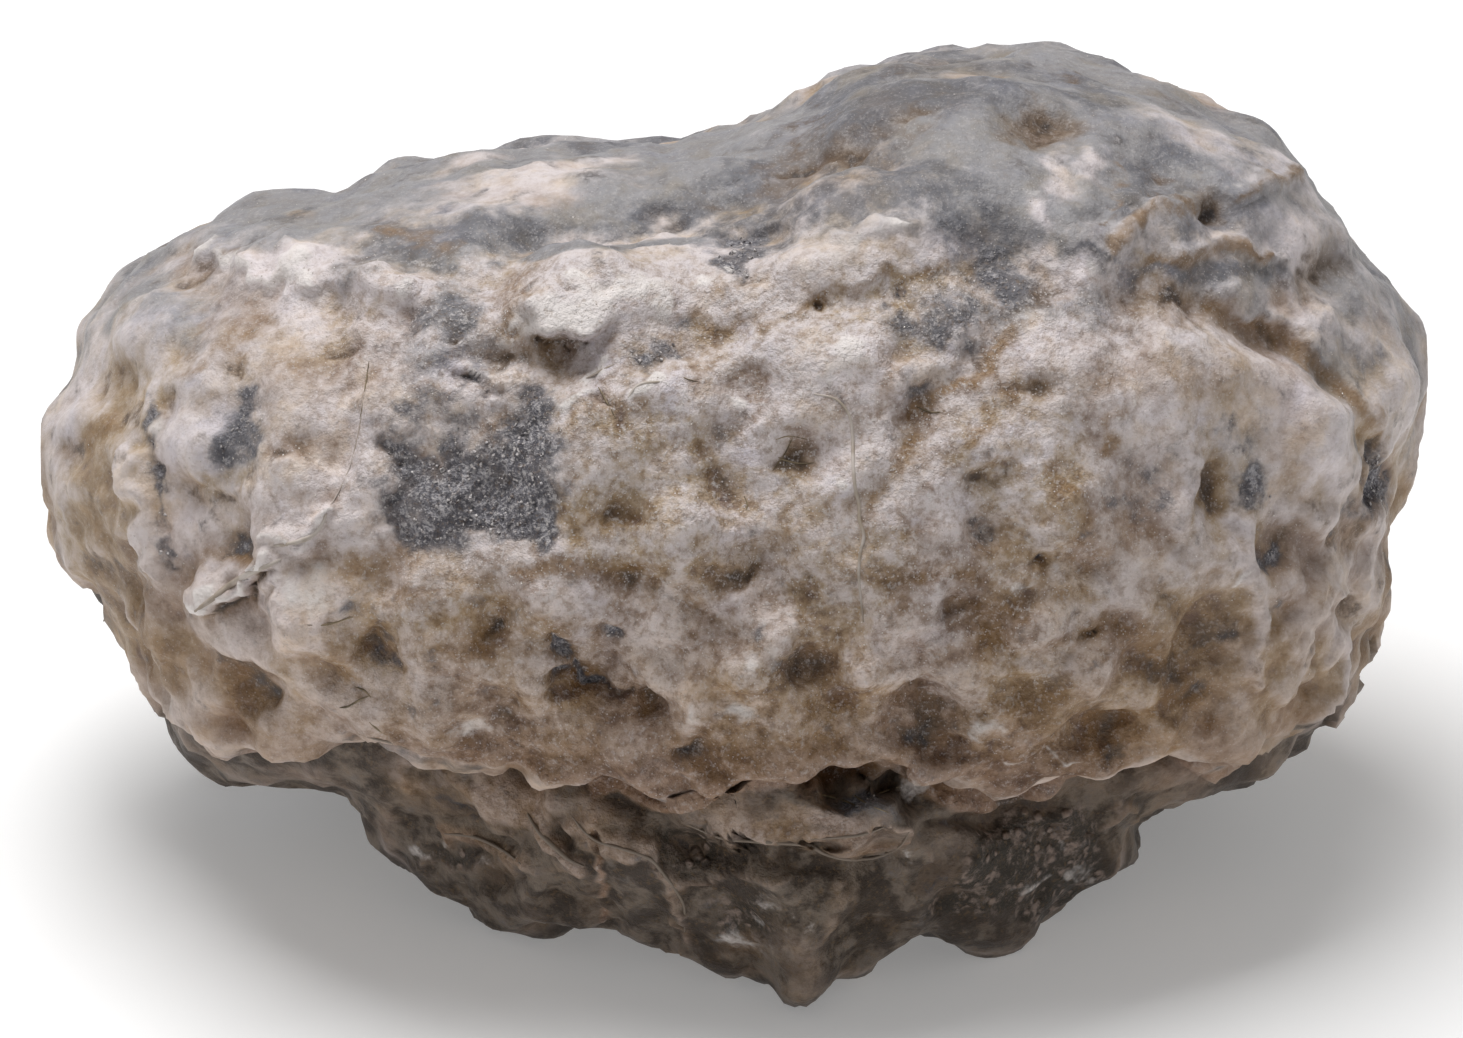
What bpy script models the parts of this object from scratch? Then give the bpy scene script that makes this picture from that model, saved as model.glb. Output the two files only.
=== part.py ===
"""Fossil crinoid: the crushed calyx of a sea lily, turned to stone and lying on its cup.

It is one stone, so it is one solid. A broad, rough crown of squeezed plates overhangs a
narrower cup, and between them run the lips of plates that slid over each other.

The frame is in metres, +Z up, with the ground at Z = 0 and the origin on the ground under the
middle of the stone. Sizes below are in millimetres. The relief is laid out on the show face,
the best side of the stone: u runs across it to the right, v up it, and w straight out of it.
"""

import math

import bmesh
import bpy
import numpy as np
from mathutils import Vector, noise

MM = 0.001

# ---------------------------------------------------------------- driving dimensions, in mm
SHOW_FACE_TILT = math.radians(30)  # how far the show face looks up from level
FACE_HEIGHT = 11.2  # middle of the show face above the ground
FRONT_DEPTH = 10.3  # front of the show face from the middle plane of the stone
BACK_DEPTH = 13.0  # back of the stone from the same plane
FRONT_SQUARENESS = 2.35  # exponent of the front's rounding: 2 is an ellipse, more is boxier
CUP_SQUARENESS = 1.75  # the same where the front falls away to the cup
BACK_SQUARENESS = 2.3
OUTLINE_BLUR, BODY_BLUR = 0.7, 14  # degrees of outline that blend together, at its edge and away from it
CELLS = 28  # faces along each edge of the cube that the stone is shaped from
CROWDED_TOWARDS = (0, -0.12, 0.34)  # the faces crowd together on the show face and the cup below it

# The stone's outline seen square to the show face, anticlockwise from the right, (u, v).
CROWN_RIGHT = [(19.9, 3.2), (20.0, 4.0), (19.6, 5.2), (19.3, 6.5), (18.5, 7.4), (17.7, 8.8), (16.6, 10.1)]
HUMP = [(16.0, 11.1), (13.7, 12.1), (12.0, 12.8), (10.4, 13.5), (9.2, 13.7), (7.4, 13.6), (4.8, 13.5)]
SADDLE = [(3.4, 13.1), (1.9, 12.1), (0.0, 11.3), (-1.0, 11.3), (-1.6, 10.9), (-3.8, 10.65), (-5.0, 10.75)]
CROWN_LEFT = [(-7.6, 10.6), (-9.6, 10.3), (-11.9, 9.25), (-13.2, 9.3), (-15.3, 8.7), (-16.8, 7.8)]
LEFT_END = [(-18.2, 6.6), (-18.8, 5.8), (-19.1, 4.0), (-19.8, 3.2), (-20.0, 1.3), (-19.6, 0.0), (-19.5, -1.8)]
LEFT_LOBE = [(-18.5, -2.4), (-17.9, -3.3), (-16.5, -5.4), (-16.7, -5.9), (-15.8, -6.8), (-14.7, -7.2)]
CUP_LEFT = [(-13.5, -7.9), (-12.0, -7.7), (-10.5, -8.7), (-9.9, -9.8), (-9.5, -10.6), (-8.1, -11.4)]
CUP_FRONT = [(-6.5, -12.2), (-5.2, -11.8), (-3.8, -11.6), (-2.9, -12.05), (-1.9, -12.2), (-1.3, -12.7)]
CUP_TIP = [(-0.4, -13.1), (0.5, -12.8), (1.5, -13.5), (2.2, -13.9), (2.9, -13.2), (4.6, -12.35)]
CUP_RIGHT = [(6.2, -12.1), (7.6, -12.7), (9.4, -11.6), (11.1, -10.7), (11.6, -9.8), (11.7, -8.6)]
RIGHT_LOBE = [(13.8, -7.75), (14.7, -8.15), (15.9, -7.0), (16.8, -6.1), (17.8, -5.2), (17.9, -3.9)]
RIGHT_END = [(18.1, -2.9), (18.9, -2.2), (18.8, -1.0), (19.1, 0.2), (19.2, 1.3), (19.6, 2.2)]
OUTLINE = (
    CROWN_RIGHT + HUMP + SADDLE + CROWN_LEFT + LEFT_END + LEFT_LOBE
    + CUP_LEFT + CUP_FRONT + CUP_TIP + CUP_RIGHT + RIGHT_LOBE + RIGHT_END
)

# How far the outline stands out from the middle plane (w), by its angle round the show face.
# It is set back at the top and the ends, and comes forward to the foot of the cup in front.
OUTLINE_STAND = {
    0: -4.0, 25: -5.5, 50: -7.0, 75: -7.0, 100: -6.2, 125: -6.5, 150: -6.0, 175: -3.5,
    200: -4.5, 212: -4.7, 220: -4.2, 228: -4.0, 242: -1.6, 260: -0.2, 279: 1.3, 301: -0.8,
    318: -4.6, 332: -4.7, 344: -4.5,
}  # fmt: skip

# ---------------------------------------------------------------- relief of the show face
# Rounded forms: (u, v), half width, half height, turn in degrees, and how far it stands out.
LUMPS = [
    ((-4.2, 6.5), 1.9, 1.1, 12, 1.0),  # pale knob on the brow of the crown, and the lip it ends in
    ((-5.0, 5.7), 1.0, 0.6, 0, 0.45),
    ((2.3, 7.3), 2.8, 0.8, 12, 0.6),  # plate that carries the brow on to the right
    ((3.0, 9.3), 2.4, 0.7, 0, 0.4),
    ((5.0, 12.2), 2.6, 0.9, 5, 0.4),  # crown of the hump
    ((13.0, 11.1), 1.9, 0.8, -20, 0.4),
    ((8.7, 9.3), 0.8, 0.7, 0, 0.4),
    ((10.3, 7.1), 1.1, 0.6, 0, 0.4),
    ((14.4, 9.5), 1.2, 0.6, 12, 0.4),
    ((16.6, 8.6), 1.4, 0.7, -15, 0.4),
    ((17.0, 3.0), 0.9, 1.6, 25, 0.4),
    ((19.0, 3.9), 0.8, 1.1, 0, 0.5),
    ((-12.7, 7.4), 1.7, 0.7, -15, 0.6),  # pale swellings at the back left
    ((-9.4, 6.6), 0.9, 0.7, 0, 0.45),
    ((-16.6, 5.6), 1.1, 0.7, 30, 0.4),
    ((-15.0, 4.4), 1.2, 0.6, 15, 0.35),
    ((-16.9, 3.5), 0.8, 0.8, 0, 0.35),
    ((-12.4, 3.0), 1.2, 0.9, 30, 0.35),
    ((-12.5, 0.9), 1.4, 1.0, 0, 0.45),
    ((-12.8, -3.4), 1.5, 1.1, 50, 0.5),
    ((-11.0, -0.9), 0.9, 0.5, 20, 0.3),
    ((-9.3, -5.0), 1.4, 0.8, -10, 0.4),
    ((-7.3, -6.0), 1.0, 0.6, 0, 0.4),
    ((-6.9, -4.3), 1.0, 0.6, -10, 0.35),
    ((-5.1, -2.2), 1.0, 0.6, 0, 0.35),
    ((-7.9, -2.9), 0.9, 0.7, 0, 0.35),
    ((-3.6, 2.0), 1.1, 1.2, 0, 0.35),
    ((-4.0, 3.6), 0.7, 0.9, -40, 0.45),
    ((-1.7, 3.5), 1.1, 0.6, 0, 0.35),
    ((2.4, 3.1), 1.0, 0.7, 0, 0.35),
    ((3.0, 0.9), 0.6, 0.7, 0, 0.4),
    ((3.4, 4.7), 1.0, 0.7, 0, 0.35),
    ((-1.6, -0.6), 1.3, 0.7, 15, 0.35),
    ((-1.3, -5.4), 0.7, 0.6, 0, 0.4),
    ((0.7, -4.1), 0.7, 0.8, 0, 0.45),
    ((3.6, -4.2), 1.2, 0.8, 0, 0.4),
    ((2.9, -1.6), 0.8, 1.2, 0, 0.3),
    ((5.5, -3.0), 0.9, 0.9, 0, 0.35),
    ((7.2, -6.2), 1.0, 0.6, 10, 0.4),
    ((9.4, -4.2), 1.1, 0.9, 0, 0.4),
    ((6.2, 1.6), 1.0, 1.6, -35, 0.35),
    ((9.6, 2.6), 1.1, 2.0, -10, 0.35),
    ((8.9, 0.3), 1.2, 0.7, 0, 0.3),
    ((12.4, 3.8), 1.4, 0.9, 15, 0.35),
    ((16.0, 2.6), 0.9, 1.4, 0, 0.35),
    ((16.8, -2.8), 0.7, 1.4, 0, 0.45),
    ((15.4, -4.6), 0.9, 0.8, 0, 0.4),
    ((14.3, -5.9), 0.8, 0.7, 0, 0.4),
    ((11.9, -5.3), 0.6, 0.9, 0, 0.4),
    ((1.3, -9.0), 1.9, 0.4, 0, 0.3),
    ((-3.6, -10.9), 1.2, 1.0, 0, 0.35),
    ((6.2, -9.1), 1.1, 0.8, 0, 0.4),
    ((9.5, -10.4), 0.9, 0.6, 20, 0.35),
]  # fmt: skip
PITS = [
    ((-4.9, 4.9), 1.0, 0.5, -18, 1.0),  # black slot under the pale knob
    ((1.7, 10.2), 1.0, 0.5, 40, 0.8),  # hollows at the foot of the hump
    ((3.6, 10.6), 1.1, 0.5, 0, 0.6),
    ((8.9, 11.3), 0.8, 0.6, 0, 0.5),
    ((7.7, 7.3), 1.6, 0.9, 0, 0.7),
    ((6.4, 5.6), 1.1, 0.6, 40, 0.3),
    ((11.3, 6.6), 0.9, 0.6, 0, 0.5),
    ((12.7, 6.3), 0.8, 0.5, 15, 0.6),
    ((13.4, 9.0), 0.8, 0.6, 0, 0.6),
    ((15.3, 5.3), 1.1, 0.6, -30, 0.7),
    ((16.9, 7.3), 0.9, 0.5, 0, 0.5),
    ((-15.4, 7.1), 0.8, 0.8, 0, 0.55),
    ((-14.1, 6.2), 1.2, 0.6, 0, 0.5),
    ((-11.3, 6.1), 0.7, 0.5, 0, 0.4),
    ((-17.9, 4.0), 0.8, 0.7, 0, 0.6),
    ((-18.6, 2.1), 0.9, 0.6, 30, 0.55),
    ((-14.2, 2.3), 0.7, 1.4, -32, 0.45),
    ((-13.5, 1.1), 0.7, 0.7, 0, 0.35),
    ((-15.5, 0.6), 0.7, 0.6, 0, 0.45),
    ((-14.4, -0.8), 0.7, 0.6, 0, 0.5),
    ((-18.2, -1.6), 0.8, 0.8, 0, 0.5),
    ((-13.8, -4.8), 0.8, 0.6, -30, 0.75),
    ((-10.1, -3.7), 0.8, 0.5, -15, 0.7),
    ((-10.8, -1.5), 0.9, 0.5, -10, 0.45),
    ((-7.6, 0.9), 2.2, 2.0, 20, 0.65),  # broad grey hollow left of the middle
    ((-2.1, 4.7), 0.9, 0.6, 0, 0.55),
    ((0.4, 3.7), 0.8, 0.6, 0, 0.45),
    ((1.7, 1.9), 0.9, 0.7, 0, 0.95),
    ((-0.4, 1.4), 0.6, 0.9, 15, 0.5),
    ((-3.4, -0.1), 0.7, 0.5, 0, 0.5),
    ((0.0, -1.3), 0.8, 0.5, 25, 0.55),
    ((-3.1, -1.6), 1.0, 0.5, 0, 0.55),
    ((1.7, -2.1), 0.8, 0.5, -30, 0.4),
    ((2.1, -3.9), 0.9, 0.6, 0, 0.6),
    ((-4.2, -4.3), 1.1, 0.5, -45, 0.75),
    ((-2.3, -5.4), 0.7, 0.5, -30, 0.6),
    ((0.8, -6.2), 1.2, 0.4, 5, 0.4),
    ((5.5, -5.8), 0.8, 0.7, -40, 0.95),
    ((7.1, -0.4), 0.8, 0.6, 0, 0.45),
    ((7.3, -3.1), 0.7, 0.9, 0, 0.5),
    ((8.4, 3.7), 0.6, 0.5, 0, 0.45),
    ((4.4, 3.6), 0.8, 0.5, 35, 0.4),
    ((11.4, 0.6), 1.4, 0.9, 15, 0.35),
    ((13.8, 0.8), 0.6, 1.0, 15, 0.8),
    ((14.8, 0.9), 0.5, 1.3, 0, 0.5),
    ((15.8, -0.8), 1.0, 0.6, -10, 0.85),
    ((13.8, -3.3), 1.1, 0.9, 0, 0.75),
    ((12.5, -4.7), 0.9, 0.6, -35, 0.6),
    ((10.6, -5.9), 0.7, 0.7, 0, 0.8),
    ((11.2, -3.2), 0.9, 0.5, 0, 0.45),
    ((17.8, -2.4), 0.7, 0.6, 0, 0.5),
    ((18.3, 1.2), 0.7, 1.2, 0, 0.7),
    ((-1.2, -9.5), 1.1, 0.8, 0, 0.9),  # round socket under the lip
    ((3.3, -7.9), 1.8, 0.5, 5, 0.9),  # slot between the two lips
    ((-7.0, -8.5), 1.2, 0.5, 0, 0.5),
    ((-7.6, -9.7), 1.6, 0.6, -15, 0.55),
    ((-4.7, -9.2), 0.6, 0.8, 35, 0.5),
    ((7.9, -9.3), 2.4, 0.9, -20, 0.5),
]  # fmt: skip

# Long forms: points (u, v), half width, and height. A groove's height is negative.
RIDGES = [
    ([(-6.2, 8.2), (-3.2, 8.7), (-0.4, 9.0), (1.2, 8.7)], 0.8, -0.75),  # trough behind the brow
    ([(-0.9, 5.3), (1.0, 5.7), (3.0, 6.4), (5.0, 6.9), (6.6, 7.1)], 0.55, -0.5),  # crease under the plate
    ([(10.0, 8.3), (11.6, 8.8), (13.2, 9.5), (15.6, 9.9)], 0.6, 0.5),  # ridges fan out over the hump
    ([(11.0, 7.7), (12.6, 8.0), (14.4, 8.2), (16.2, 8.0)], 0.6, 0.5),
    ([(11.6, 7.3), (13.4, 7.5), (15.4, 7.3)], 0.5, -0.45),
    ([(12.6, 5.5), (14.6, 4.9), (16.3, 4.1), (17.4, 2.9), (17.8, 1.4)], 0.9, 0.5),  # edge of the big arc
    ([(13.4, 6.3), (15.1, 5.6), (17.0, 4.6), (18.1, 3.2), (18.5, 1.7)], 0.7, -0.7),
    ([(5.0, 2.8), (6.4, 3.9), (8.0, 5.3)], 0.5, -0.5),
    ([(3.9, 0.4), (4.6, 1.4), (5.2, 2.4)], 0.5, -0.4),
    ([(-11.4, 4.3), (-11.0, 2.4), (-11.3, 0.9), (-12.2, -0.3)], 0.6, -0.4),
    ([(-16.7, 1.6), (-16.4, 0.0), (-15.9, -1.8), (-15.8, -3.6)], 0.6, -0.55),
    ([(-17.3, -0.6), (-17.5, -2.0), (-17.6, -3.3)], 0.5, -0.45),
    ([(-15.4, -2.6), (-14.2, -1.8), (-12.9, -1.2)], 0.5, 0.7),  # loose blade of plate on the left
    ([(-15.0, -3.0), (-13.8, -2.4), (-12.9, -2.0)], 0.45, -0.5),
    ([(-13.2, -0.7), (-12.2, -0.6), (-11.6, 0.1)], 0.45, 0.4),
    ([(-8.6, -8.8), (-7.2, -9.2), (-6.0, -10.0)], 0.5, 0.45),  # ribs of the cup's plates
    ([(-5.8, -8.0), (-5.2, -9.2), (-4.2, -9.9), (-2.6, -10.2)], 0.5, 0.55),
    ([(-4.9, -8.3), (-3.6, -9.3), (-2.3, -10.1), (-1.4, -11.6)], 0.5, 0.5),
    ([(1.2, -9.9), (2.0, -11.6), (2.1, -13.3)], 0.9, 0.8),
    ([(2.9, -10.6), (2.9, -12.2)], 0.6, 0.4),
    ([(4.9, -9.2), (5.6, -10.2), (5.2, -11.8)], 0.5, 0.35),
    ([(8.0, -9.9), (10.2, -9.3)], 0.5, 0.35),
    ([(-6.4, -11.6), (-6.0, -10.7), (-4.8, -10.4)], 0.6, 0.4),
    ([(7.6, -12.1), (7.4, -11.0), (8.2, -10.4)], 0.7, 0.45),
]  # fmt: skip

# Lips where one sheet of plates overlaps the next, drawn left to right along the edge (u, v):
# the sheet above stands out by lip, the one below is set back by drop, each fading over reach.
CROWN_LIP = [
    (-16.2, -5.6), (-14.6, -6.3), (-12.6, -6.8), (-10.7, -6.3), (-9.3, -6.75), (-8.3, -7.1), (-6.3, -7.1),
    (-5.7, -7.6), (-4.1, -7.5), (-3.2, -7.9), (-2.0, -8.35), (-0.8, -8.1), (0.0, -7.75), (1.9, -7.55),
    (4.4, -7.1), (5.2, -7.9), (6.2, -7.3), (8.0, -8.1), (9.1, -7.8), (11.0, -7.0), (13.0, -6.6),
    (14.4, -7.0), (15.2, -6.5), (17.2, -5.2),
]  # fmt: skip
INNER_LIP = [(-1.2, -8.7), (0.0, -9.1), (1.9, -9.3), (3.2, -9.75), (4.2, -9.65), (5.0, -9.2)]
LIPS = [
    (CROWN_LIP, 0.6, 1.5, 1.9, 3.4),
    (INNER_LIP, 0.4, 0.6, 0.9, 1.4),
]
LIP_ROUNDING = 0.3  # half the width of the step at a lip

# ---------------------------------------------------------------- relief of the other sides
PLATE_SPACING = 6.0  # typical width of one plate of the calyx
PLATE_SEAM = 0.45  # depth of the seams between plates on the hidden sides
PLATE_SWELL = 0.5  # how far each plate bulges between its seams
LUMP_SIZE, LUMP_HEIGHT = 2.9, 0.5  # broad lumps all over
KNOB_SIZE, KNOB_HEIGHT = 1.55, 0.42  # knobs and pits between them

FOLD_PASSES, FOLD_LIMIT = 12, 0.25  # rounds of smoothing, and the lean at which a face counts as folded

# ---------------------------------------------------------------- underside
BASE_CENTRE = (1.0, 0.4)  # middle of the cup's base on the ground, (x, y)
BASE_PADS = 6  # worn ends of the cup's plates that touch the ground
PAD_RING = 7.4  # radius of the circle that the pads stand on
PAD_HALF_WIDTH, PAD_HALF_LENGTH = 2.3, 1.9
HOLLOW_DEPTH = 1.0  # how far the rest of the base stays clear of the ground
STEM_SCAR_RADIUS, STEM_SCAR_RIM, STEM_HOLE_RADIUS = 3.0, 0.45, 0.8

STONE_COLOUR = (0.33, 0.275, 0.235, 1.0)
STONE_ROUGHNESS = 0.62


def smooth_step(low, high, value):
    """0 below low, 1 above high, and a smooth rise between them."""
    t = np.clip((value - low) / (high - low), 0, 1)
    return t * t * (3 - 2 * t)


def closed_curve(points, steps=12):
    """Points along the smooth closed curve through the given ones."""
    p = np.array(points, float)
    before, after, beyond = np.roll(p, 1, 0), np.roll(p, -1, 0), np.roll(p, -2, 0)
    rows = []
    for t in np.arange(steps) / steps:
        rows.append(0.5 * (
            2 * p + (after - before) * t
            + (2 * before - 5 * p + 4 * after - beyond) * t**2
            + (3 * p - before - 3 * after + beyond) * t**3
        ))
    return np.stack(rows, 1).reshape(-1, 2)


def by_angle(marks, values, angle, blur):
    """A value known at some marks, in degrees, blurred over some degrees and read at each angle."""
    steps = np.arange(0, 360, 0.5)
    known = np.interp(steps, marks, values, period=360)
    spread = np.exp(-((np.minimum(steps, 360 - steps) / blur) ** 2))
    blurred = np.real(np.fft.ifft(np.fft.fft(known) * np.fft.fft(spread / spread.sum())))
    return np.interp(np.degrees(angle), steps, blurred, period=360)


def outline_radius(angle, blur):
    """Distance from the middle of the show face to the outline, at each angle."""
    curve = closed_curve(OUTLINE)
    return by_angle(np.degrees(np.arctan2(curve[:, 1], curve[:, 0])), np.hypot(*curve.T), angle, blur)


def stone_blank():
    """A cube cut into cells, and the direction of each corner from the middle, on the show face's axes."""
    mesh = bpy.data.meshes.new("calyx")
    cube = bmesh.new()
    bmesh.ops.create_cube(cube, size=2)
    bmesh.ops.subdivide_edges(cube, edges=cube.edges, cuts=CELLS - 1, use_grid_fill=True)
    cube.to_mesh(mesh)
    cube.free()
    corners = np.array([v.co for v in mesh.vertices])
    direction = np.tan(corners * math.pi / 4)
    direction /= np.linalg.norm(direction, axis=1, keepdims=True)
    direction += CROWDED_TOWARDS
    direction /= np.linalg.norm(direction, axis=1, keepdims=True)
    return mesh, direction


def rough_form(direction):
    """The stone without its relief: the outline, rounded out to the front and the back."""
    du, dv, dw = direction.T
    angle = np.arctan2(dv, du)
    reach = np.hypot(du, dv)
    stand = by_angle(list(OUTLINE_STAND), list(OUTLINE_STAND.values()), angle, 6)
    away = smooth_step(0.05, 0.6, np.abs(dw))
    radius = outline_radius(angle, OUTLINE_BLUR) * (1 - away) + outline_radius(angle, BODY_BLUR) * away
    downwards = smooth_step(0.2, 0.9, -np.sin(angle))
    front_square = FRONT_SQUARENESS + (CUP_SQUARENESS - FRONT_SQUARENESS) * downwards
    square = np.where(dw > 0, front_square, BACK_SQUARENESS)
    depth = np.where(dw > 0, FRONT_DEPTH - stand, BACK_DEPTH + stand)
    spread = radius * reach ** (2 / square)
    w = stand + np.sign(dw) * depth * np.abs(dw) ** (2 / square)
    return np.stack([spread * np.cos(angle), spread * np.sin(angle), w], 1)


def in_stone_frame(face_points):
    """Points on the show face's axes, put on the stone's own axes."""
    u, v, w = face_points.T
    sin, cos = math.sin(SHOW_FACE_TILT), math.cos(SHOW_FACE_TILT)
    return np.stack([u, v * sin - w * cos, v * cos + w * sin + FACE_HEIGHT], 1)


def rounded_forms(uv, forms):
    """Height of all the rounded forms at each point."""
    height = np.zeros(len(uv))
    for centre, half_width, half_height, turn, stand in forms:
        across, up = (uv - centre).T
        sin, cos = math.sin(math.radians(turn)), math.cos(math.radians(turn))
        away = ((across * cos + up * sin) / half_width) ** 2 + ((up * cos - across * sin) / half_height) ** 2
        height += stand * np.exp(-away)
    return height


def from_line(uv, points):
    """Signed distance of each point from a line of points, positive above a line drawn left to right."""
    signed = np.full(len(uv), 1e9)
    for start, end in zip(np.array(points, float)[:-1], np.array(points, float)[1:]):
        along = end - start
        share = np.clip((uv - start) @ along / (along @ along), 0, 1)
        apart = uv - (start + share[:, None] * along)
        distance = np.hypot(*apart.T)
        side = np.where(along[0] * apart[:, 1] >= along[1] * apart[:, 0], 1, -1)
        signed = np.where(distance < np.abs(signed), distance * side, signed)
    return signed


def ridges(uv):
    """Height of the ridges and grooves at each point."""
    return sum(stand * np.exp(-((from_line(uv, points) / width) ** 2)) for points, width, stand in RIDGES)


def lips(uv):
    """Height of the lips: out above the edge of each sheet, back below it."""
    height = np.zeros(len(uv))
    for points, lip, drop, lip_reach, drop_reach in LIPS:
        signed = from_line(uv, points)
        from_start, to_end = uv[:, 0] - points[0][0], points[-1][0] - uv[:, 0]
        ends = smooth_step(-0.5, 1.5, from_start) * smooth_step(-0.5, 1.5, to_end)
        above = smooth_step(-LIP_ROUNDING, LIP_ROUNDING, signed)
        out = lip * np.exp(-np.maximum(signed, 0) / lip_reach)
        back = drop * np.exp(np.minimum(signed, 0) / drop_reach)
        height += ends * (above * out - (1 - above) * back)
    return height


def knobs(points):
    """Broad lumps, with knobs and pits on them."""
    height = []
    for p in points:
        lump = noise.noise(Vector(p) / LUMP_SIZE)
        knob = noise.noise(Vector(p) / KNOB_SIZE + Vector((7.3, 2.1, 4.9)))
        height.append(LUMP_HEIGHT * lump + KNOB_HEIGHT * (2 * abs(knob) - 0.4))
    return np.array(height)


def plates(points):
    """The polygonal plates of the calyx: each bulges, and grooves run between them."""
    height = []
    for p in points:
        distance, _ = noise.voronoi(Vector(p) / PLATE_SPACING)
        from_seam = distance[1] - distance[0]
        seam = math.exp(-((from_seam / 0.13) ** 2))
        height.append(PLATE_SWELL * min(from_seam, 0.5) - PLATE_SEAM * seam)
    return np.array(height)


def base_clearance(x, y):
    """How far above the ground the underside of the cup lies: the pads touch, the stem scar nearly does."""
    across, along = x - BASE_CENTRE[0], y - BASE_CENTRE[1]
    radius, around = np.hypot(across, along), np.arctan2(along, across)
    sector = 2 * math.pi / BASE_PADS
    off_pad = (around + math.pi / 2 + sector / 2) % sector - sector / 2
    away = np.hypot((radius - PAD_RING) / PAD_HALF_LENGTH, radius * off_pad / PAD_HALF_WIDTH)
    clearance = HOLLOW_DEPTH * smooth_step(1.0, 1.8, away)
    scar = smooth_step(STEM_SCAR_RADIUS + 0.6, STEM_SCAR_RADIUS - 0.4, radius)
    hole = smooth_step(STEM_HOLE_RADIUS + 0.5, STEM_HOLE_RADIUS - 0.3, radius)
    return clearance - scar * STEM_SCAR_RIM + hole * 0.5


def relief(direction, face_points, points, outwards):
    """How far each point of the rough form is raised or sunk."""
    uv = face_points[:, :2]
    facing = outwards @ (0, -math.cos(SHOW_FACE_TILT), math.sin(SHOW_FACE_TILT))
    shown = smooth_step(0.1, 0.5, facing)
    hidden = smooth_step(0.05, -0.4, facing)
    own = rounded_forms(uv, LUMPS) - rounded_forms(uv, PITS) + ridges(uv) + lips(uv)
    at_outline = np.exp(-((direction[:, 2] / 0.12) ** 2))
    roughness = 0.7 + 0.2 * hidden - 0.5 * at_outline
    return shown * own + hidden * plates(points) + roughness * knobs(points)


def place_points(mesh, points):
    """Moves the mesh's corners to these points, given in millimetres."""
    mesh.vertices.foreach_set("co", (points * MM).astype(np.float32).ravel())
    mesh.update()


def relax_folds(mesh, outwards, points):
    """The points, with the few places smoothed where relief has folded the surface over itself."""
    place_points(mesh, points)
    surface = bmesh.new()
    surface.from_mesh(mesh)
    for _ in range(FOLD_PASSES):
        surface.normal_update()
        folded = set()
        for face in surface.faces:
            way_out = Vector(sum(outwards[v.index] for v in face.verts)).normalized()
            if face.normal.dot(way_out) < FOLD_LIMIT:
                folded.update(face.verts)
        if not folded:
            break
        bmesh.ops.smooth_vert(
            surface, verts=list(folded), factor=0.5, use_axis_x=True, use_axis_y=True, use_axis_z=True
        )
    relaxed = np.array([v.co for v in surface.verts]) / MM
    surface.free()
    return relaxed


def build_calyx():
    """The whole stone, with its origin on the ground under its middle."""
    mesh, direction = stone_blank()
    face_points = rough_form(direction)
    points = in_stone_frame(face_points)
    place_points(mesh, points)
    outwards = np.array([v.normal for v in mesh.vertices])
    raised = relief(direction, face_points, points, outwards)
    points = relax_folds(mesh, outwards, points + outwards * raised[:, None])
    clearance = base_clearance(points[:, 0], points[:, 1])
    points[:, 2] = np.maximum(points[:, 2], clearance)
    points = relax_folds(mesh, outwards, points)
    middle = (points.min(0) + points.max(0)) / 2
    place_points(mesh, points - (middle[0], middle[1], points[:, 2].min()))
    mesh.shade_smooth()
    return mesh


def stone_material():
    material = bpy.data.materials.new("limestone_fossil")
    material.use_nodes = True
    shader = material.node_tree.nodes["Principled BSDF"]
    shader.inputs["Base Color"].default_value = STONE_COLOUR
    shader.inputs["Roughness"].default_value = STONE_ROUGHNESS
    shader.inputs["Metallic"].default_value = 0.0
    return material


def main():
    for old in list(bpy.data.objects):
        bpy.data.objects.remove(old)
    mesh = build_calyx()
    mesh.materials.append(stone_material())
    bpy.context.scene.collection.objects.link(bpy.data.objects.new("calyx", mesh))


main()
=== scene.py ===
# %% [markdown]
# # A fossil crinoid calyx in limestone
# A crinoid is a sea lily, and its calyx is the cup that held the animal's body. This one was buried,
# turned to stone and weathered out: a broad lumpy crown over a darker cup, with patches of granular
# rock left in its hollows and a thin film of pale lime over most of it. The solid already has the
# outline and the large lumps. This lesson adds what the eye sees from close by: a finer surface, the
# stains and crusts painted by masks, loose grains of rock, thin dried folds and a few fibres.
#
# We start by loading the solid as a fixed frame. Every size below is in millimetres, as it would be
# read with callipers, and is turned into metres only when a mesh is filled.

import math

import bmesh
import bpy
import numpy as np
from mathutils import Matrix, Vector, noise
from mathutils.bvhtree import BVHTree


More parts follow.
